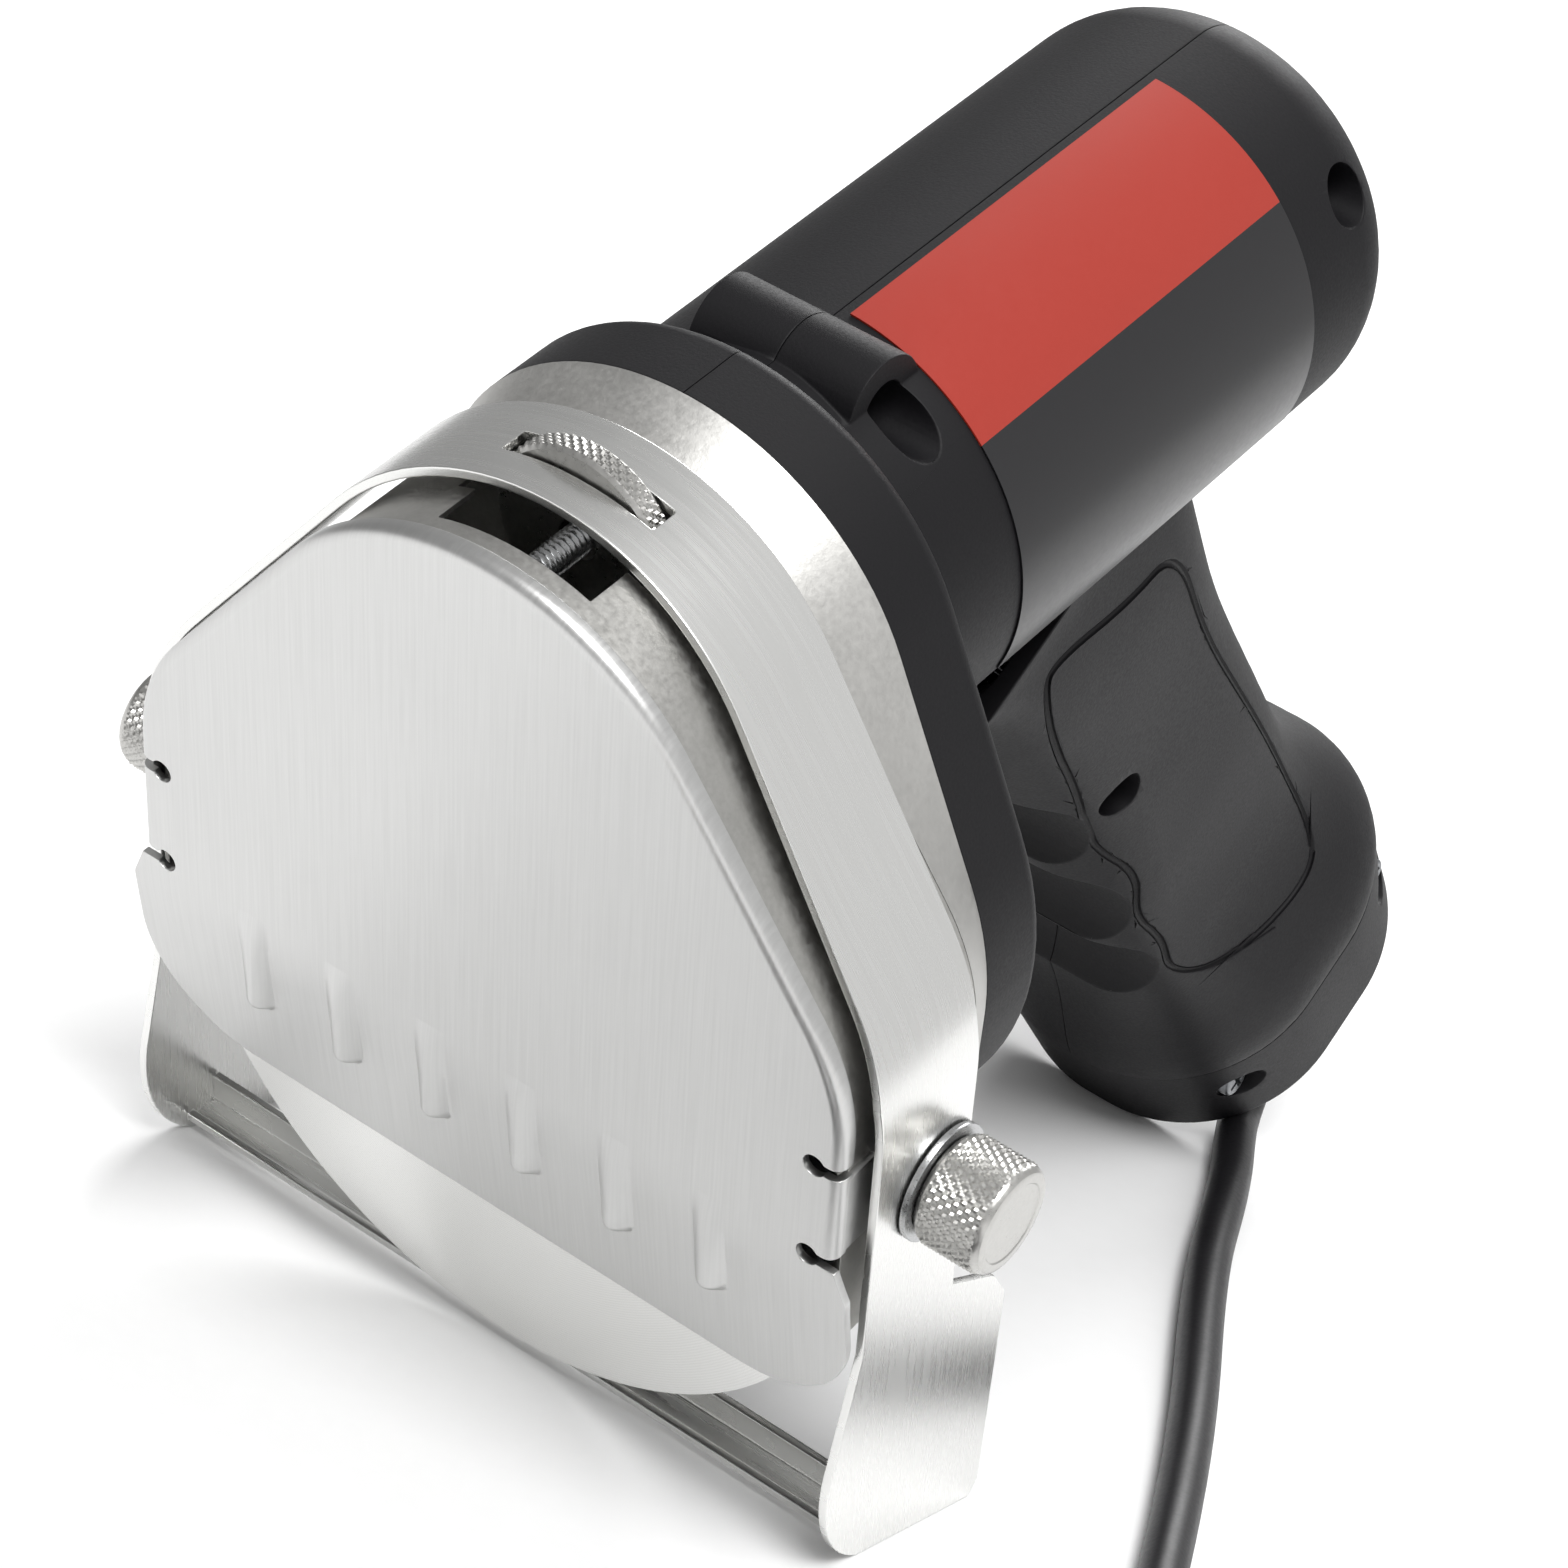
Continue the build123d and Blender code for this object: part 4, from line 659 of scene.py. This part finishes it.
def groove_cutter(side, half):
    """Closed round tube along the panel's line, laid on one side of the grip as it is found to be."""
    skin = BVHTree.FromPolygons([v.co for v in half.data.vertices],
                                [tuple(f.vertices) for f in half.data.polygons])
    laid = []
    for rear, down in panel_points():
        met = skin.ray_cast(grip_place(side * WELL_OUTSIDE, rear, down), Vector((-side, 0, 0)))[0]
        if met is not None and abs(met.x) > LEAST_HALF_WIDTH * MM:
            laid.append(met)
    path = bpy.data.curves.new("groove", "CURVE")
    path.dimensions = "3D"
    path.bevel_depth = GROOVE_RADIUS * MM
    path.bevel_resolution = 2
    line = path.splines.new("POLY")
    line.points.add(len(laid) - 1)
    for point, spot in zip(line.points, laid):
        point.co = (*spot, 1.0)
    line.use_cyclic_u = True
    made = bpy.data.objects.new("groove", path)
    bpy.context.scene.collection.objects.link(made)
    bpy.context.view_layer.update()
    mesh = bpy.data.meshes.new_from_object(made.evaluated_get(bpy.context.evaluated_depsgraph_get()))
    bpy.data.objects.remove(made)
    work = bmesh.new()
    work.from_mesh(mesh)
    bmesh.ops.remove_doubles(work, verts=work.verts, dist=SAME_POINT)
    bmesh.ops.recalc_face_normals(work, faces=work.faces)
    work.to_mesh(mesh)
    work.free()
    return piece("groove_tube", mesh)


for side, node, name in ((1, "handle_right", "grip_moulding_right"),
                         (-1, "handle_left", "grip_moulding_left")):
    half = merged_copy(node, name)
    before = len(half.data.polygons)
    tube = groove_cutter(side, half)
    cut = half.modifiers.new("groove", "BOOLEAN")
    cut.object = tube
    cut.operation = "DIFFERENCE"
    cut.solver = "EXACT"
    settle(half)
    bpy.data.objects.remove(tube)
    print(name, "faces before and after the groove", before, len(half.data.polygons))
    stand_for(break_edges(half, 0.25, angle=40), node)
stand_for(break_edges(merged_copy("base_cap", "foot_cap_moulding"), 0.2, angle=40), "base_cap")

# %% [markdown]
# ## Knurls and the thread
# A knurl is two sets of grooves that wind round a barrel in opposite ways, and leave small
# pyramids between them. A thread is one such groove. Both follow one rule, so one geometry
# node tree makes them: a grid is rolled up into a barrel, and its radius is lowered where a
# groove runs. Named inputs say how many grooves start round the barrel, how many pitches
# each climbs along it, how deep they are, and whether the second set crosses the first.

# %% The barrel's node tree
barrel_tree = bpy.data.node_groups.new("grooved_barrel", "GeometryNodeTree")
barrel_inputs = {}
for label, kind, default in (
    ("Radius", "NodeSocketFloat", 0.007), ("Width", "NodeSocketFloat", 0.008),
    ("Groove depth", "NodeSocketFloat", 0.0003), ("Starts", "NodeSocketFloat", 36.0),
    ("Climb", "NodeSocketFloat", 6.0), ("Crossed", "NodeSocketFloat", 1.0), ("Fade", "NodeSocketFloat", 12.0),
    ("Columns", "NodeSocketInt", 145), ("Rows", "NodeSocketInt", 33), ("Finish", "NodeSocketMaterial", None),
):
    socket = barrel_tree.interface.new_socket(label, in_out="INPUT", socket_type=kind)
    if default is not None:
        socket.default_value = default
    barrel_inputs[label] = socket.identifier
barrel_tree.interface.new_socket("Geometry", in_out="OUTPUT", socket_type="NodeSocketGeometry")
given = add(barrel_tree, "NodeGroupInput").outputs
grid = add(barrel_tree, "GeometryNodeMeshGrid", None, {
    "Size X": 1.0, "Size Y": 1.0, "Vertices X": given["Columns"], "Vertices Y": given["Rows"]})
spot = add(barrel_tree, "ShaderNodeSeparateXYZ", None, {
    "Vector": add(barrel_tree, "GeometryNodeInputPosition").outputs[0]})


def maths(operation, *values):
    """One step of arithmetic in the barrel's tree."""
    return add(barrel_tree, "ShaderNodeMath", {"operation": operation}, dict(enumerate(values))).outputs[0]


round_share = maths("ADD", spot.outputs["X"], 0.5)
along_share = maths("ADD", spot.outputs["Y"], 0.5)
climbed = maths("MULTIPLY", along_share, given["Climb"])
first_way = maths("MULTIPLY_ADD", round_share, given["Starts"], climbed)
other_way = maths("SUBTRACT", maths("MULTIPLY", round_share, given["Starts"]), climbed)
first_ridge = maths("MULTIPLY", maths("PINGPONG", first_way, 0.5), 2.0)
other_ridge = maths("MULTIPLY", maths("PINGPONG", other_way, 0.5), 2.0)
other_ridge = maths("MAXIMUM", other_ridge, maths("SUBTRACT", 1.0, given["Crossed"]))
from_end = maths("MINIMUM", along_share, maths("SUBTRACT", 1.0, along_share))
window = maths("MINIMUM", maths("MULTIPLY", from_end, given["Fade"]), 1.0)
ridge = maths("MULTIPLY", maths("MINIMUM", first_ridge, other_ridge), window)
sunk = maths("MULTIPLY", given["Groove depth"], maths("SUBTRACT", 1.0, ridge))
radius = maths("SUBTRACT", given["Radius"], sunk)
turn = maths("MULTIPLY", round_share, 2 * pi)
rolled = add(barrel_tree, "ShaderNodeCombineXYZ", None, {
    "X": maths("MULTIPLY", radius, maths("COSINE", turn)),
    "Y": maths("MULTIPLY", radius, maths("SINE", turn)),
    "Z": maths("MULTIPLY", along_share, given["Width"])})
moved = add(barrel_tree, "GeometryNodeSetPosition", None, {"Geometry": grid.outputs["Mesh"],
                                                         "Position": rolled.outputs[0]})
joined = add(barrel_tree, "GeometryNodeMergeByDistance", None, {
    "Geometry": moved.outputs[0], "Distance": SAME_POINT})
real = add(barrel_tree, "GeometryNodeRealizeInstances", None, {"Geometry": joined.outputs[0]})
finished = add(barrel_tree, "GeometryNodeSetMaterial", None, {"Geometry": real.outputs[0],
                                                            "Material": given["Finish"]})
add(barrel_tree, "NodeGroupOutput", None, {0: finished.outputs[0]})
print("barrel tree nodes", len(barrel_tree.nodes))

# %% Barrels and lathe work
def barrel(**values):
    """Points and faces of a grooved barrel, standing on the origin along z."""
    holder = piece("barrel", bpy.data.meshes.new("barrel"))
    modifier = holder.modifiers.new("grooves", "NODES")
    modifier.node_group = barrel_tree
    for label, value in values.items():
        modifier[barrel_inputs[label.replace("_", " ")]] = value
    settle(holder)
    mesh = holder.data
    found = [v.co.copy() for v in mesh.vertices], [tuple(p.vertices) for p in mesh.polygons]
    bpy.data.objects.remove(holder)
    return found


def lathe(profile, segments):
    """Points and faces of a profile of (height, radius) in millimetres turned about z."""
    spun = [Vector((r * cos(2 * pi * at / segments), r * sin(2 * pi * at / segments), h)) * MM
            for h, r in profile for at in range(segments)]
    walls = [(row * segments + at, row * segments + (at + 1) % segments,
              (row + 1) * segments + (at + 1) % segments, (row + 1) * segments + at)
             for row in range(len(profile) - 1) for at in range(segments)]
    return spun, walls


def assemble(name, groups, origin, x_axis, z_axis, crease):
    """One closed mesh from groups of points and faces, stood at a place of the tool."""
    y_axis = z_axis.cross(x_axis)
    stand = Matrix.Translation(origin) @ Matrix((x_axis, y_axis, z_axis)).transposed().to_4x4()
    all_points, all_faces = [], []
    for some_points, some_faces in groups:
        all_faces += [tuple(len(all_points) + at for at in face) for face in some_faces]
        all_points += [stand @ point for point in some_points]
    made = piece(name, mesh_of(name, all_points, all_faces))
    made.data.shade_smooth()
    made.data.set_sharp_from_angle(angle=radians(crease))
    return made


KNURLS = 36
KNURL_COLUMNS = 4 * KNURLS
KNOB_RADIUS = 7.2
KNURL_DEPTH = 0.38
KNOB_LENGTH = 9.3
KNOB_EDGE = 0.7
KNOB_OUTER = 65.0
STUD_HOLE = 3.06
STUD_HOLE_DEPTH = 5.05
low_radius = KNOB_RADIUS - KNURL_DEPTH
for side, node in ((1, "knob_right"), (-1, "knob_left")):
    skin, quads = barrel(Radius=KNOB_RADIUS * MM, Width=(KNOB_LENGTH - 2 * KNOB_EDGE) * MM,
                         Groove_depth=KNURL_DEPTH * MM, Starts=float(KNURLS), Climb=5.0, Crossed=1.0,
                         Fade=14.0, Columns=KNURL_COLUMNS + 1, Rows=41, Finish=finishes["knurled_steel"])
    skin = [point + Vector((0, 0, KNOB_EDGE * MM)) for point in skin]
    back_face = lathe([(KNOB_EDGE, low_radius), (0.0, low_radius - KNOB_EDGE), (0.0, STUD_HOLE),
                       (STUD_HOLE_DEPTH, STUD_HOLE), (STUD_HOLE_DEPTH, 0.0)], KNURL_COLUMNS)
    end_face = lathe([(KNOB_LENGTH - KNOB_EDGE, low_radius), (KNOB_LENGTH - 0.45, low_radius - 0.12),
                      (KNOB_LENGTH - 0.12, low_radius - 0.4), (KNOB_LENGTH, low_radius - 0.75),
                      (KNOB_LENGTH, low_radius - 1.6), (KNOB_LENGTH - 0.12, low_radius - 1.8),
                      (KNOB_LENGTH - 0.12, 0.0)], KNURL_COLUMNS)
    knob = assemble(f"knurled_{node}", [(skin, quads), back_face, end_face],
                    place(side * (KNOB_OUTER - KNOB_LENGTH), 16.0, 6.5), BACK, RIGHT * side, 20)
    stand_for(knob, node)

# %% Thumb wheel and rod
WHEEL_RADIUS = 11.8
WHEEL_WIDTH = 3.3
WHEEL_EDGE = 0.35
WHEEL_KNURLS = 56
WHEEL_BORE = 2.6
wheel_low = WHEEL_RADIUS - KNURL_DEPTH
skin, quads = barrel(Radius=WHEEL_RADIUS * MM, Width=(WHEEL_WIDTH - 2 * WHEEL_EDGE) * MM,
                     Groove_depth=KNURL_DEPTH * MM, Starts=float(WHEEL_KNURLS), Climb=2.0, Crossed=1.0,
                     Fade=20.0, Columns=4 * WHEEL_KNURLS + 1, Rows=17, Finish=finishes["knurled_steel"])
skin = [point + Vector((0, 0, WHEEL_EDGE * MM)) for point in skin]
faces_of_wheel = lathe([(WHEEL_EDGE, wheel_low), (0.0, wheel_low - WHEEL_EDGE), (0.0, WHEEL_BORE),
                        (WHEEL_WIDTH, WHEEL_BORE), (WHEEL_WIDTH, wheel_low - WHEEL_EDGE),
                        (WHEEL_WIDTH - WHEEL_EDGE, wheel_low)], 4 * WHEEL_KNURLS)
wheel = assemble("knurled_thumb_wheel", [(skin, quads), faces_of_wheel],
                 place(0, 18.25 - WHEEL_WIDTH / 2, 70.0), RIGHT, BACK, 20)
stand_for(wheel, "thumb_wheel")

ROD_RADIUS = 2.0
ROD_LENGTH = 27.6
ROD_EDGE = 0.5
THREAD_DEPTH = 0.4
THREAD_PITCH = 0.8
ROD_COLUMNS = 32
ROWS_PER_TURN = 6
rod_low = ROD_RADIUS - THREAD_DEPTH
thread_length = ROD_LENGTH - 2 * ROD_EDGE
thread_turns = round(thread_length / THREAD_PITCH)
skin, quads = barrel(Radius=ROD_RADIUS * MM, Width=thread_length * MM, Groove_depth=THREAD_DEPTH * MM,
                     Starts=1.0, Climb=thread_turns, Crossed=0.0, Fade=40.0, Columns=ROD_COLUMNS + 1,
                     Rows=ROWS_PER_TURN * thread_turns + 1, Finish=finishes["machined_steel"])
skin = [point + Vector((0, 0, ROD_EDGE * MM)) for point in skin]
rod_start = lathe([(ROD_EDGE, rod_low), (0.0, rod_low - THREAD_DEPTH), (0.0, 0.0)], ROD_COLUMNS)
rod_end = lathe([(ROD_LENGTH - ROD_EDGE, rod_low), (ROD_LENGTH, rod_low - THREAD_DEPTH), (ROD_LENGTH, 0.0)],
                ROD_COLUMNS)
rod = assemble("threaded_adjusting_rod", [(skin, quads), rod_start, rod_end],
               place(0, 2.9, 70.0), RIGHT, BACK, 50)
stand_for(rod, "threaded_rod")

# %% [markdown]
# ## Floor and light
# The tool stands on a wide pale table in a white room, as in a catalogue. The room is
# darker on the left, which draws the left side of each rib. A broad light from above, in
# front and to the right gives the steel its gradient, and one from behind lights the table
# there and draws a line along the black body.

# %% Floor
FLOOR_HALF = 9.0
floor = piece("table_top", mesh_of("table_top", [
    Vector((x, y, 0)) for x, y in ((-FLOOR_HALF, -FLOOR_HALF), (FLOOR_HALF, -FLOOR_HALF),
                                   (FLOOR_HALF, FLOOR_HALF), (-FLOOR_HALF, FLOOR_HALF))], [(0, 1, 2, 3)]))
if floor.data.polygons[0].normal.z < 0:
    floor.data.flip_normals()
floor.data.materials.append(worked("matt_white_laminate", "F4F4F4", "F8F8F8", 0.55, 0.65,
                                   (3.0, 3.0, 3.0), 0.002, cloud=200.0, IOR=1.45))

# %% Lights
world = bpy.data.worlds.new("white_room")
world.use_nodes = True
room = world.node_tree
ray = add(room, "ShaderNodeSeparateXYZ", None, {
    "Vector": add(room, "ShaderNodeTexCoord").outputs["Generated"]})
level = add(room, "ShaderNodeMapRange", None, {
    "Value": ray.outputs["X"], "From Min": -1.0, "From Max": 0.6, "To Min": 0.28, "To Max": 0.72})
room.links.new(level.outputs[0], room.nodes["Background"].inputs["Strength"])
room.nodes["Background"].inputs["Color"].default_value = (1.0, 1.0, 1.0, 1.0)
bpy.context.scene.world = world
bpy.context.scene.view_settings.view_transform = "Standard"
for name, where, size, power in (
    ("key_light", (0.45, -0.75, 1.35), 0.8, 19.0),
    ("back_light", (-0.45, 1.15, 1.05), 0.9, 14.0),
):
    light = bpy.data.lights.new(name, "AREA")
    light.shape = "DISK"
    light.size = size
    light.energy = power
    lamp = bpy.data.objects.new(name, light)
    bpy.context.scene.collection.objects.link(lamp)
    lamp.location = where
    lamp.rotation_euler = (Vector((0, 0, 0.08)) - Vector(where)).to_track_quat("-Z", "Y").to_euler()
print("lights placed")
